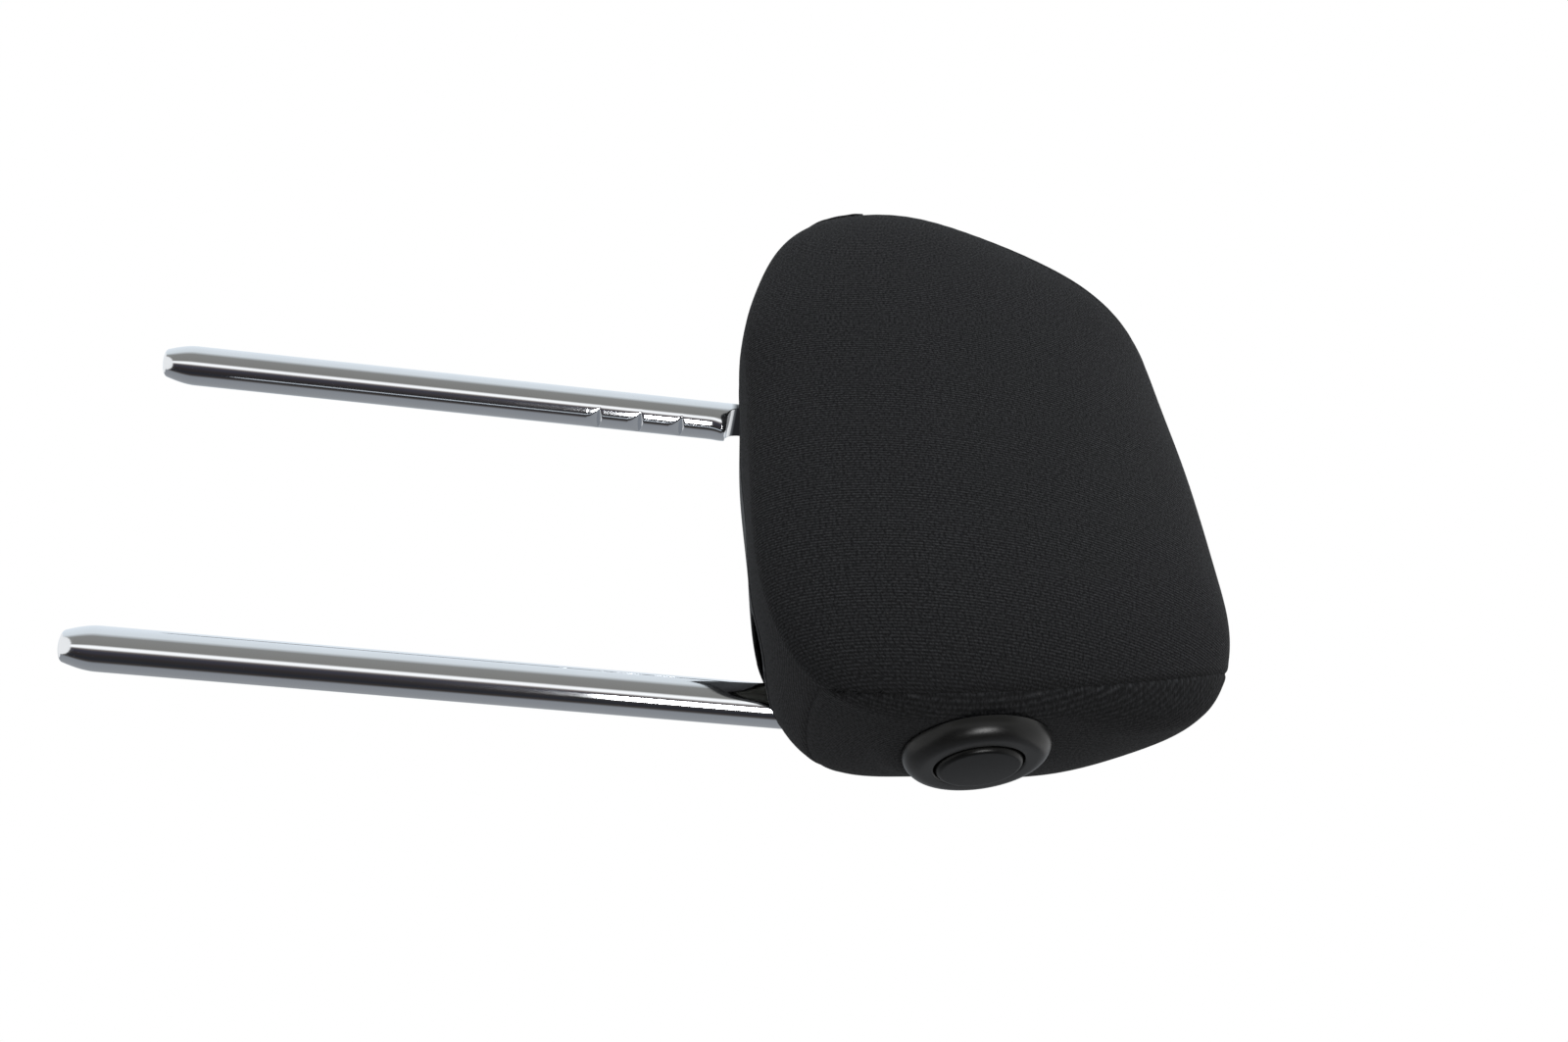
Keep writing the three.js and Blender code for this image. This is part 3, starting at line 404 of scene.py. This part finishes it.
# fabric cover: mesh steps, the coarse trial's steps, and how it is blown out, in mm
cloth = {
    "sideColumns": 56, "centreColumns": 150, "rows": 300,
    "simSide": 10, "simCentre": 34, "simRows": 76,
    "inset": 0.2, "wall": 1.2, "pressure": 4.0, "frames": 20, "cap": 1.6, "bulgeWidth": 24.0,
    "quality": 5, "mass": 0.3, "stretch": 30, "bend": 1.5,
    "heldRoundKnob": 24, "heldBelow": 226, "heldWithin": 80, "heldBehind": -46,
    "seatFlat": 21.0, "seatEnd": 34.0,
}

# how far the stuffing lifts or sinks the cloth near some places: x, y, z and height, in mm,
# fitted so that the head's outline meets the photographed one
bulges = np.array([
    (1, -31, 203, 1.4), (-23, -38, 202, -0.3), (-43, -51, 202, 2.6), (-76, -61, 206, -0.0),
    (-108, -66, 231, -1.0), (-109, -68, 258, 1.3), (-105, -67, 284, -0.1), (-100, -62, 308, 0.0),
    (-91, -56, 328, 1.2), (-78, -50, 342, 0.9), (-58, -45, 351, -1.4), (-35, -43, 355, -0.7),
    (-9, -42, 356, 0.3), (18, -42, 356, 0.8), (53, -42, 354, 2.3), (86, -41, 341, 0.7),
    (93, -27, 323, -1.6), (94, -18, 305, 1.0), (95, -8, 250, -1.3), (88, -5, 233, 2.7),
    (45, -16, 207, -0.2), (24, -25, 204, -1.8),
])


def simulatePuff():
    # a coarse closed head, inset, is blown out as cloth with its seams, its bottom and the
    # button's seat held; returns how far each point moved outwards, in mm, capped
    across, around = headGrid(cloth["simSide"], cloth["simCentre"], cloth["simRows"])
    form = headForm(across, around)
    normals = headNormals(form)
    start = form - cloth["inset"] * normals
    columns, rows = across.shape
    piece = makeMesh("puffTrial", start.reshape(-1, 3), gridFaces(columns, rows))
    # a pole is one point once welded: the solver stops at edges of no length
    weldDoubles(piece)
    isSeam = np.abs(np.abs(across) - seamAt(around)) < 1e-6
    offset = form - knobPlace
    proud = offset @ knobNormal
    fromKnob = np.sqrt(np.maximum(0, (offset ** 2).sum(-1) - proud ** 2))
    nearKnob = (fromKnob < cloth["heldRoundKnob"]) & (form[..., 0] > knob["sideFrom"])
    atBottom = ((form[..., 2] < cloth["heldBelow"]) & (form[..., 1] > cloth["heldBehind"])
                & (np.abs(form[..., 0]) < cloth["heldWithin"]))
    held = (isSeam | nearKnob | atBottom)[1:-1].ravel()
    group = piece.vertex_groups.new(name="held")
    group.add((np.nonzero(held)[0] + 1).tolist(), 1.0, "REPLACE")
    modifier = piece.modifiers.new("cloth", "CLOTH")
    setting = modifier.settings
    setting.quality = cloth["quality"]
    setting.mass = cloth["mass"]
    setting.use_pressure = True
    setting.uniform_pressure_force = cloth["pressure"]
    setting.tension_stiffness = setting.compression_stiffness = cloth["stretch"]
    setting.bending_stiffness = cloth["bend"]
    setting.vertex_group_mass = "held"
    setting.effector_weights.gravity = 0
    modifier.collision_settings.use_collision = False
    modifier.point_cache.frame_start = 1
    modifier.point_cache.frame_end = cloth["frames"]
    for step in range(1, cloth["frames"] + 1):
        bpy.context.scene.frame_set(step)
    blown = piece.evaluated_get(bpy.context.evaluated_depsgraph_get()).to_mesh()
    flatAfter = np.empty(len(blown.vertices) * 3, np.float32)
    blown.vertices.foreach_get("co", flatAfter)
    flatAfter = flatAfter.reshape(-1, 3) / mm
    after = np.array(start)
    after[1:-1] = flatAfter[1:-1].reshape(columns - 2, rows, 3)
    after[0], after[-1] = flatAfter[0], flatAfter[-1]
    bpy.context.scene.frame_set(1)
    bpy.data.objects.remove(piece)
    puff = ((after - start) * normals).sum(-1)
    return np.clip(np.nan_to_num(puff), 0, cloth["cap"])


def spreadPuff(coarse, sideColumns, centreColumns, rows):
    # reads the coarse field between its columns and rows, panel by panel, by straight lines
    side, centre = cloth["simSide"], cloth["simCentre"]
    fine = np.concatenate([
        np.arange(sideColumns) / sideColumns * side,
        side + np.arange(centreColumns + 1) / centreColumns * centre,
        side + centre + np.arange(1, sideColumns + 1) / sideColumns * side,
    ])
    column = np.clip(fine.astype(int), 0, coarse.shape[0] - 2)
    share = (fine - column)[:, None]
    rowPlace = np.arange(rows) / rows * coarse.shape[1]
    row = rowPlace.astype(int) % coarse.shape[1]
    after = (row + 1) % coarse.shape[1]
    rowShare = (rowPlace - rowPlace.astype(int))[None, :]
    first = coarse[column][:, row] * (1 - rowShare) + coarse[column][:, after] * rowShare
    second = coarse[column + 1][:, row] * (1 - rowShare) + coarse[column + 1][:, after] * rowShare
    return first * (1 - share) + second * share


def roundedBox(x, y, x0, x1, y0, y1, corner):
    # signed distance to a rectangle with round corners, negative inside
    dx = np.abs(x - (x0 + x1) / 2) - (x1 - x0) / 2 + corner
    dy = np.abs(y - (y0 + y1) / 2) - (y1 - y0) / 2 + corner
    outside = np.hypot(np.maximum(dx, 0), np.maximum(dy, 0))
    return outside + np.minimum(np.maximum(dx, dy), 0) - corner


# moulded bottom cover and its post slots
bottomTrim = {
    "halfWidth": 75.5, "front": -41.2, "rear": 10.0, "corner": 8.5, "rise": 24.0,
    "slotAt": 65.0, "slotHalfWidth": 8.5, "slotFront": -39.2, "slotRear": 8.0,
    "slotCorner": 8.0, "gap": 0.03, "wall": 1.0, "sunk": 0.08,
    "tuck": 0.06, "tuckWidth": 1.6,
}


def slotField(p):
    # signed distance to the nearer post's slot, which runs up into the head
    slot = roundedBox(
        np.abs(p[:, 0]), p[:, 1], bottomTrim["slotAt"] - bottomTrim["slotHalfWidth"],
        bottomTrim["slotAt"] + bottomTrim["slotHalfWidth"], bottomTrim["slotFront"],
        bottomTrim["slotRear"], bottomTrim["slotCorner"])
    return np.maximum(slot, p[:, 2] - head["bottom"] - head["halfHeight"])


def trimField(p, grow):
    # signed distance to the strip that the moulded bottom cover fills
    strip = roundedBox(
        p[:, 0], p[:, 1], -bottomTrim["halfWidth"] - grow, bottomTrim["halfWidth"] + grow,
        bottomTrim["front"] - grow, bottomTrim["rear"] + grow, bottomTrim["corner"])
    return np.maximum(strip, p[:, 2] - head["bottom"] - bottomTrim["rise"] - grow)


def knobField(p):
    # signed distance to the hole behind the ring
    offset = p - knobPlace
    proud = offset @ knobNormal
    distance = np.sqrt(np.maximum(0, (offset ** 2).sum(-1) - proud ** 2))
    return np.where(p[:, 0] > knob["sideFrom"], distance - knob["holeRadius"], knob["farAway"])


puffCoarse = np.zeros((2 * cloth["simSide"] + cloth["simCentre"] + 1, cloth["simRows"]))
puffCoarse = simulatePuff()
print("cloth blown out by up to", round(float(puffCoarse.max()), 2), "mm")

sideCount, centreCount, rowCount = cloth["sideColumns"], cloth["centreColumns"], cloth["rows"]
across, around = headGrid(sideCount, centreCount, rowCount)
formPoints = headForm(across, around)
formNormals = headNormals(formPoints)
# each bulge is a bell of the distance d from its place: height exp(-(d / width)^2), and the
# ring's seat stays flat
offset = formPoints - knobPlace
fromAxis = np.linalg.norm(offset - (offset @ knobNormal)[..., None] * knobNormal, axis=-1)
offSeat = np.where(formPoints[..., 0] > knob["sideFrom"],
                   smoothStep(fromAxis, cloth["seatFlat"], cloth["seatEnd"]), 1.0)
spread = ((formPoints[:, :, None] - bulges[:, :3]) ** 2).sum(-1) / cloth["bulgeWidth"] ** 2
raised = (np.exp(-spread) @ bulges[:, 3]) * offSeat
formPoints = formPoints + raised[..., None] * formNormals
puff = spreadPuff(puffCoarse, sideCount, centreCount, rowCount)

# distance from the nearer seam, along the surface
stepSize = np.linalg.norm(np.diff(formPoints, axis=0), axis=-1)
travelled = np.concatenate([np.zeros((1, rowCount)), np.cumsum(stepSize, axis=0)])
farSeam, nearSeam = travelled[sideCount], travelled[sideCount + centreCount]
fromSeam = np.minimum(np.abs(travelled - farSeam), np.abs(travelled - nearSeam))
alongStep = np.linalg.norm(
    np.roll(formPoints[sideCount], -1, axis=0) - formPoints[sideCount], axis=-1)
alongSeam = np.concatenate([[0], np.cumsum(alongStep)[:-1]])
puckerCount = round(alongStep.sum() / seam["puckerPitch"])
puckerWave = np.cos(alongSeam / alongStep.sum() * puckerCount * 2 * np.pi)[None, :]
shape = (-seam["dip"] * np.exp(-(fromSeam / seam["dipWidth"]) ** 2)
         + seam["roll"] * np.exp(-((fromSeam - seam["rollAt"]) / seam["rollWidth"]) ** 2)
         + seam["pucker"] * puckerWave * np.exp(-(fromSeam / seam["puckerWidth"]) ** 2))
flat = formPoints.reshape(-1, 3)
beside = np.maximum(0, trimField(flat, bottomTrim["gap"])).reshape(across.shape)
tuck = bottomTrim["tuck"] * np.exp(-(beside / bottomTrim["tuckWidth"]) ** 2)
coverPoints = formPoints + (puff - cloth["inset"] + shape - tuck)[..., None] * formNormals

# cloth map in mm: u is X, so that the ribs run straight, and v is the way round the head
middleColumn = sideCount + centreCount // 2
vStep = np.linalg.norm(
    np.roll(formPoints[middleColumn], -1, axis=0) - formPoints[middleColumn], axis=-1)
vAlong = np.broadcast_to(np.concatenate([[0], np.cumsum(vStep)[:-1]])[None, :], across.shape)


def coverPanel(name, first, last, uv, field):
    # columns first to last of the cover, trimmed where the field is negative
    points = coverPoints[first:last + 1].reshape(-1, 3)
    normals = formNormals[first:last + 1].reshape(-1, 3)
    faces = gridFaces(last - first + 1, rowCount)
    points, faces = trimGrid(points, normals, faces, field)
    panel = makeMesh(name, points, faces, uv[first:last + 1].reshape(-1, 2))
    weldDoubles(panel)
    thick = panel.modifiers.new("wall", "SOLIDIFY")
    thick.thickness = cloth["wall"] * mm
    thick.offset = -1
    panel.data.materials.append(knitFabric)
    return panel


centreUv = np.stack([formPoints[..., 0], vAlong], -1)
sideUv = formPoints[..., 1:3]
lastColumn = 2 * sideCount + centreCount
coverCentre = coverPanel(
    "coverCentreKnit", sideCount, sideCount + centreCount, centreUv,
    lambda p: np.minimum(trimField(p, bottomTrim["gap"]), slotField(p)))
coverNear = coverPanel(
    "coverSideNearKnit", sideCount + centreCount, lastColumn, sideUv, knobField)
coverFar = coverPanel(
    "coverSideFarKnit", 0, sideCount, sideUv, lambda p: np.full(len(p), 1.0))
for panel, node in ((coverCentre, "cover_centre"), (coverNear, "cover_side_near"),
                    (coverFar, "cover_side_far")):
    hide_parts(node)
    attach(panel, "head")
print("fabric cover made")

bottomPoints, bottomFaces = trimGrid(
    (formPoints - bottomTrim["sunk"] * formNormals).reshape(-1, 3), formNormals.reshape(-1, 3),
    gridFaces(*across.shape), lambda p: -np.maximum(trimField(p, 0), -slotField(p)))
bottomCover = makeMesh("bottomCoverMoulding", bottomPoints, bottomFaces)
weldDoubles(bottomCover, closed=False)
bottomWall = bottomCover.modifiers.new("wall", "SOLIDIFY")
bottomWall.thickness = bottomTrim["wall"] * mm
bottomWall.offset = -1
bottomCover.data.materials.append(bottomPlastic)
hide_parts("bottom_cover")
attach(bottomCover, "head")
print("bottom cover made")


# stay: rod, bends, rounded tips, and the notches in the far post's inner face
stay = {
    "radius": 7.0, "spacing": 130.0, "barHeight": 285.0, "bend": 25.0,
    "nose": 11.5, "tip": 4.5, "tipDome": 1.3, "sides": 160,
    "notches": (154.5, 169.5, 184.5), "notchDepth": 1.8, "ramp": 4.5, "shoulder": 1.2,
    "stopAt": 201.0, "stopLength": 22.0, "stopDepth": 7.6, "stopRound": 5.0,
    "lip": 0.7, "lipLength": 5.0, "lipRound": 1.2, "hollow": 1.7, "edgeSoftness": 0.3,
    "lipBefore": 1.5, "cutFrom": 140, "clear": 3.0,
    "noseRows": 24, "bendRows": 26, "plainRows": 14,
}


def softLower(a, b, softness):
    # the lower of two heights, with a round corner: (a + b - sqrt((a - b)^2 + s^2)) / 2
    return (a + b - np.sqrt((a - b) ** 2 + softness ** 2)) / 2


def notchCeiling(z):
    # how far the post's inner face reaches at each height: V notches whose sides are hollow,
    # depth (1 - t)^hollow at the share t of a side, then a round edge and the stop notch
    radius = stay["radius"]
    ceiling = np.full_like(z, radius + stay["clear"])
    for root in stay["notches"]:
        t = np.where(z < root, (root - z) / stay["ramp"], (z - root) / stay["shoulder"])
        ramp = radius - stay["notchDepth"] * np.clip(1 - t, 0, 1) ** stay["hollow"]
        ceiling = np.where(t < 1, np.minimum(ceiling, ramp), ceiling)
    over = np.clip((z - stay["stopAt"]) / stay["lipRound"] + 1, 0, 1)
    edge = radius + stay["lip"] - stay["lipRound"] * (1 - np.sqrt(1 - over ** 2))
    ceiling = np.where(over > 0, np.minimum(ceiling, edge), ceiling)
    rise = np.clip((z - stay["stopAt"]) / stay["stopRound"], 0, 1)
    floor = radius - stay["stopDepth"] + stay["stopRound"] * (
        1 - np.sqrt(np.maximum(0, 1 - (1 - rise) ** 2)))
    inStop = (z >= stay["stopAt"]) & (z <= stay["stopAt"] + stay["stopLength"])
    return np.where(inStop, floor, ceiling)


def bentStay():
    # a circle carried up one post, round a bend, along the bar, round a bend and down again;
    # the far post's inner face is held under the notches' ceiling; the tip is a quarter
    # ellipse, radius sqrt(1 - (1 - z / dome)^2), that runs into the nose
    half, bend = stay["spacing"] / 2, stay["bend"]
    straight = stay["barHeight"] - bend
    nose = stay["nose"] * (1 - np.cos(np.linspace(0, np.pi / 2, stay["noseRows"])))
    plain = np.concatenate([nose, np.linspace(stay["nose"] + 6, straight, stay["plainRows"])])
    # first height, last height and rows of each band, closest at the notches and the lip
    bands = ((stay["nose"] + 6, 146, 10), (148, 190, 169), (191, 200.9, 30), (201.0, 204, 16),
             (206, 222, 6), (222.99, 223.01, 2), (224, straight, 4))
    cut = np.concatenate([nose] + [np.linspace(*band) for band in bands])
    angles = np.linspace(0, np.pi / 2, stay["bendRows"])[1:]
    bendX = -half + bend - bend * np.cos(angles)
    bendZ = straight + bend * np.sin(angles)
    x = np.concatenate([np.full(len(cut), -half), bendX, -bendX[::-1], np.full(len(plain), half)])
    z = np.concatenate([cut, bendZ, bendZ[::-1], plain[::-1]])
    swing = np.concatenate([
        np.zeros(len(cut)), angles, np.pi - angles[::-1], np.full(len(plain), np.pi)])
    share = np.clip(z / stay["nose"], 0, 1)
    radius = stay["tip"] + (stay["radius"] - stay["tip"]) * np.sin(share * np.pi / 2)
    radius = radius * np.sqrt(1 - (1 - np.clip(z / stay["tipDome"], 0, 1)) ** 2)
    theta = np.arange(stay["sides"]) / stay["sides"] * 2 * np.pi
    inPlane = radius[:, None] * np.cos(theta)
    onFarPost = (np.arange(len(x)) < len(cut))[:, None]
    fromLip = (z - stay["stopAt"] + stay["lipBefore"]) / stay["lipLength"] * 2
    lipRise = stay["lip"] * np.exp(-fromLip ** 2)
    lipped = inPlane * (1 + (lipRise[:, None] / stay["radius"]) * (np.cos(theta) > 0)
                        * np.clip(np.cos(theta), 0, 1))
    held = softLower(lipped, notchCeiling(z)[:, None], stay["edgeSoftness"])
    inPlane = np.where(onFarPost & (z[:, None] > stay["cutFrom"]), held, inPlane)
    points = np.stack([
        x[:, None] + inPlane * np.cos(swing)[:, None],
        radius[:, None] * np.sin(theta) + 0 * inPlane,
        z[:, None] - inPlane * np.sin(swing)[:, None],
    ], -1)
    points = np.concatenate([
        np.broadcast_to([[-half, 0.0, 0.0]], (1, stay["sides"], 3)), points,
        np.broadcast_to([[half, 0.0, 0.0]], (1, stay["sides"], 3))])
    piece = makeMesh("stayChromed", points.reshape(-1, 3), gridFaces(*points.shape[:2]))
    weldDoubles(piece)
    return piece


stayPiece = bentStay()
stayPiece.data.set_sharp_from_angle(angle=math.radians(50))
stayPiece.data.materials.append(chromePlate)
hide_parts("stay_frame")
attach(stayPiece, "stay")
print("stay made")


def ringProfile():
    # a quarter ellipse that rises inwards to the crown, then a round lip down to the opening
    inner, outer, crown = knob["ringInner"], knob["ringOuter"], knob["ringCrown"]
    base, top, lip = knob["ringBase"], knob["ringHeight"], knob["lip"]
    angle = np.linspace(0, np.pi / 2, knob["bandSteps"])
    band = np.stack([crown + (outer - crown) * np.cos(angle),
                     base + (top - base) * np.sin(angle)], -1)
    bend = np.linspace(np.pi / 2, np.pi, knob["lipSteps"])
    edge = np.stack([inner + lip + lip * np.cos(bend), top - lip + lip * np.sin(bend)], -1)
    skirt = [[inner, -knob["skirt"]], [knob["skirtRadius"], -knob["skirt"]],
             [knob["skirtRadius"], base], [outer - knob["footIn"], base - knob["footSink"]]]
    return skirt + band.tolist() + edge.tolist() + [[inner, -knob["skirt"]]]


def buttonProfile():
    # a domed cap with a round rim, a skirt and a stem underneath
    radius, top, rim = knob["buttonRadius"], knob["buttonProud"], knob["buttonRim"]
    angle = np.linspace(0, np.pi / 2, knob["rimSteps"])
    edge = np.stack([radius - rim + rim * np.cos(angle), top - rim + rim * np.sin(angle)], -1)
    away = np.linspace(radius - rim, 0, knob["domeSteps"])[1:]
    dome = np.stack([away, top + knob["buttonDome"] * (1 - (away / (radius - rim)) ** 2)], -1)
    wall, low = radius - knob["wall"], -knob["buttonSkirt"]
    under = [[0, -knob["stemEnd"]], [knob["stemRadius"], -knob["stemEnd"]],
             [knob["stemRadius"], top - knob["wall"]], [wall, top - knob["wall"]],
             [wall, low], [radius, low]]
    return under + edge.tolist() + dome.tolist()


for name, profile, node, body, finish in (
        ("bezelRingMoulding", ringProfile(), "bezel_ring", "head", ringPlastic),
        ("pushButtonMoulding", buttonProfile(), "push_button", "button", buttonPlastic)):
    piece = turnedMesh(name, profile, knob["segments"], knobPlace, knobNormal)
    piece.data.set_sharp_from_angle(angle=math.radians(40))
    piece.data.materials.append(finish)
    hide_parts(node)
    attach(piece, body)
print("ring and button made")

# inner pieces keep their CAD shape and get their own finish
finishes = {
    "lock_plate": zincSteel, "core_rear": corePlastic, "core_front": corePlastic,
    "pivot_bush_near": bushPlastic, "pivot_bush_far": bushPlastic,
    "reaction_pad": liningCompound, "friction_lining": liningCompound,
    "lock_lever": zincSteel, "lever_pin": zincSteel,
    "release_rod": zincSteel, "button_housing": corePlastic, "housing_screw_1": zincSteel,
    "housing_screw_2": zincSteel, "foam_pad": padFoam,
    "core_screw_1": zincSteel, "core_screw_2": zincSteel, "core_screw_3": zincSteel,
    "core_screw_4": zincSteel,
}
for node, finish in finishes.items():
    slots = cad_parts[node].data.materials
    slots.clear()
    slots.append(finish)
print("inner pieces finished")


# rows a turn and sides of a coil's wire
coilRows, coilSides = 28, 12


def coilSpring(name, start, axis, length, radius, wire, turns):
    # a circle of the wire's radius carried along a helix: r cos a, r sin a, length a / whole
    steps, sides = int(turns * coilRows), coilSides
    angle = np.linspace(0, turns * 2 * np.pi, steps)
    middle = np.stack([radius * np.cos(angle), radius * np.sin(angle),
                       length * angle / angle[-1]], -1)
    out = np.stack([np.cos(angle), np.sin(angle), 0 * angle], -1)
    ahead = np.gradient(middle, axis=0)
    ahead /= np.linalg.norm(ahead, axis=-1, keepdims=True)
    side = np.cross(ahead, out)
    around = np.arange(sides) / sides * 2 * np.pi
    ring = (out[:, None] * np.cos(around)[None, :, None]
            + side[:, None] * np.sin(around)[None, :, None]) * wire / 2
    points = middle[:, None] + ring
    ends = [np.broadcast_to(middle[n], (1, sides, 3)) for n in (0, -1)]
    points = np.concatenate([ends[0], points, ends[1]])
    spin = np.array(Vector((0, 0, 1)).rotation_difference(Vector(axis)).to_matrix())
    points = points @ spin.T + start
    piece = makeMesh(name, points.reshape(-1, 3), gridFaces(*points.shape[:2]))
    weldDoubles(piece)
    piece.data.materials.append(springSteel)
    return piece


# the lever's coil is drawn 1.1 mm shorter than the lever's 4.2 mm travel asks, so that its
# flat end clears the turned lever
springs = {
    "buttonCoil": {
        "node": "button_spring", "joint": "button_press", "start": knobPlace - 14.95 * knobNormal,
        "axis": knobNormal, "length": 19.5, "radius": 5.4, "wire": 0.9, "turns": 5,
        "travel": 4.0, "fixedAtStart": True},
    "leverCoil": {
        "node": "lever_spring", "joint": "lever_turn", "start": np.array([24.45, -20.0, 265.0]),
        "axis": np.array([1.0, 0.0, 0.0]), "length": 12.4, "radius": 3.0, "wire": 0.7, "turns": 5,
        "travel": 5.3, "fixedAtStart": False},
}
for name, coil in springs.items():
    piece = coilSpring(name, coil["start"], coil["axis"], coil["length"], coil["radius"],
                       coil["wire"], coil["turns"])
    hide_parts(coil["node"])
    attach(piece, "head")
    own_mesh(piece)
print("springs made")


studio = {"floorHeight": -0.002, "floorSize": 12.0, "wallRadius": 3.0, "wallHeight": 6.0,
          "wallSides": 96, "white": 1.0, "fill": 0.145}


def stageMaterial(name, colour, strength):
    # a pale surface that is pure glow to the camera and to reflections, and lit to the rest
    material, tree, shader = startMaterial(name, Roughness=0.9)
    shader.inputs["Base Color"].default_value = linear(colour)
    path = addNode(tree, "ShaderNodeLightPath")
    seen = sums(tree, "MAXIMUM", path.outputs["Is Camera Ray"], path.outputs["Is Glossy Ray"])
    glow = addNode(tree, "ShaderNodeEmission", {"Color": (1, 1, 1, 1), "Strength": strength})
    mixed = addNode(tree, "ShaderNodeMixShader", {
        0: seen, 1: shader.outputs[0], 2: glow.outputs[0]})
    tree.links.new(mixed.outputs[0], tree.nodes["Material Output"].inputs[0])
    return material


half = studio["floorSize"] / 2 / mm
corners = np.array([[-half, -half], [half, -half], [half, half], [-half, half]])
floor = makeMesh("studioFloor", np.column_stack([
    corners, np.full(4, studio["floorHeight"] / mm)]), np.array([[0, 1, 2, 3]]))
floor.data.materials.append(stageMaterial("paleFloor", "#d8d8d8", studio["white"]))
floor.visible_glossy = False

# bands that the chrome reflects: azimuth in degrees (0 is +X, 90 is +Y) and tone
bands = [(-180, "#dde4ea"), (-134, "#d3d9dd"), (-114, "#858583"), (-68, "#7f7e7b"),
         (-60, "#ffffff"), (-52, "#ffffff"), (-44, "#6b6360"), (-36, "#3a3a44"),
         (-16, "#302c2c"), (4, "#27292f"), (16, "#3b3633"), (27, "#83868b"),
         (90, "#8e9093"), (118, "#a3a8ad"), (134, "#dde4ea"), (180, "#dde4ea")]


def surroundMaterial():
    # soft vertical bands round the studio, by the angle about the upright axis
    material = bpy.data.materials.new("studioSurround")
    material.use_nodes = True
    tree = material.node_tree
    tree.nodes.clear()
    place = addNode(tree, "ShaderNodeTexCoord").outputs["Object"]
    axes = addNode(tree, "ShaderNodeSeparateXYZ", {0: place})
    angle = sums(tree, "ARCTAN2", axes.outputs[1], axes.outputs[0])
    share = addNode(tree, "ShaderNodeMapRange", {0: angle, 1: -math.pi, 2: math.pi}).outputs[0]
    ramp = addNode(tree, "ShaderNodeValToRGB", {0: share})
    stops = ramp.color_ramp.elements
    while len(stops) < len(bands):
        stops.new(0.5)
    for stop, (azimuth, tone) in zip(stops, bands):
        stop.position = (azimuth + 180) / 360
        stop.color = linear(tone)
    glow = addNode(tree, "ShaderNodeEmission", {"Color": ramp.outputs[0], "Strength": 1.2})
    out = addNode(tree, "ShaderNodeOutputMaterial", {0: glow.outputs[0]})
    out.is_active_output = True
    return material


wallSides = studio["wallSides"]
ringAngles = np.arange(wallSides) / wallSides * 2 * np.pi
wallRadius, wallHalf = studio["wallRadius"] / mm, studio["wallHeight"] / mm / 2
wallPoints = np.stack([
    np.stack([wallRadius * np.cos(ringAngles), wallRadius * np.sin(ringAngles),
              np.full(wallSides, level)], -1) for level in (-wallHalf, wallHalf)])
surround = makeMesh("studioSurround", wallPoints.reshape(-1, 3), gridFaces(2, wallSides))
surround.data.materials.append(surroundMaterial())
surround.visible_camera = False
surround.visible_diffuse = False
surround.visible_shadow = False
surround.visible_transmission = False

world = bpy.data.worlds.new("softStudio")
bpy.context.scene.world = world
world.use_nodes = True
skyTree = world.node_tree
background = skyTree.nodes["Background"]
skyPath = addNode(skyTree, "ShaderNodeLightPath")
seenShare = sums(skyTree, "MAXIMUM", skyPath.outputs["Is Camera Ray"], sums(
    skyTree, "MAXIMUM", skyPath.outputs["Is Glossy Ray"],
    skyPath.outputs["Is Transmission Ray"]))
background.inputs["Color"].default_value = (1, 1, 1, 1)
strength = addNode(skyTree, "ShaderNodeMapRange", {0: seenShare, 3: studio["fill"], 4: 1.0})
skyTree.links.new(strength.outputs[0], background.inputs["Strength"])


def softLamp(name, place, target, size, power):
    # a square area lamp that points at the target
    data = bpy.data.lights.new(name, "AREA")
    data.size = size
    data.energy = power
    lamp = bpy.data.objects.new(name, data)
    bpy.context.scene.collection.objects.link(lamp)
    lamp.location = place
    aim = Vector(target) - Vector(place)
    lamp.rotation_euler = aim.to_track_quat("-Z", "Y").to_euler()
    return lamp


keyLamp = softLamp("keyLamp", (-1.45, -1.1, 0.3), (0, 0, 0.2), 1.6, 25.0)
keyLamp.visible_glossy = False
sideLamp = softLamp("sideLamp", (1.35, -0.6, 0.46), (0.1, 0, 0.26), 0.5, 15.0)
sideLamp.visible_diffuse = False

# camera: place and turn in the headrest's frame, rolled so that the posts point left
camera = {
    "place": (390.1, -417.9, 150.0),
    "right": (0.01483007, -0.15617501, 0.98761806),
    "down": (0.72122241, 0.685791, 0.09761632),
    "ahead": (-0.69254481, 0.71084462, 0.12280724),
    "focalShare": 1706.1 / 1600,
    "sensor": 36.0,
}
eye = bpy.data.cameras.new("photoCamera")
eye.sensor_width = camera["sensor"]
eye.lens = camera["focalShare"] * camera["sensor"]
eye.clip_start, eye.clip_end = 0.01, 50
eyeObject = bpy.data.objects.new("photoCamera", eye)
bpy.context.scene.collection.objects.link(eyeObject)
right, down, ahead = (Vector(camera[k]) for k in ("right", "down", "ahead"))
turned = Matrix((right, -down, -ahead)).transposed().to_4x4()
eyeObject.matrix_world = Matrix.Translation(Vector(camera["place"]) * mm) @ turned
bpy.context.scene.camera = eyeObject
bpy.context.scene.view_settings.view_transform = "Standard"
print("studio and camera set")
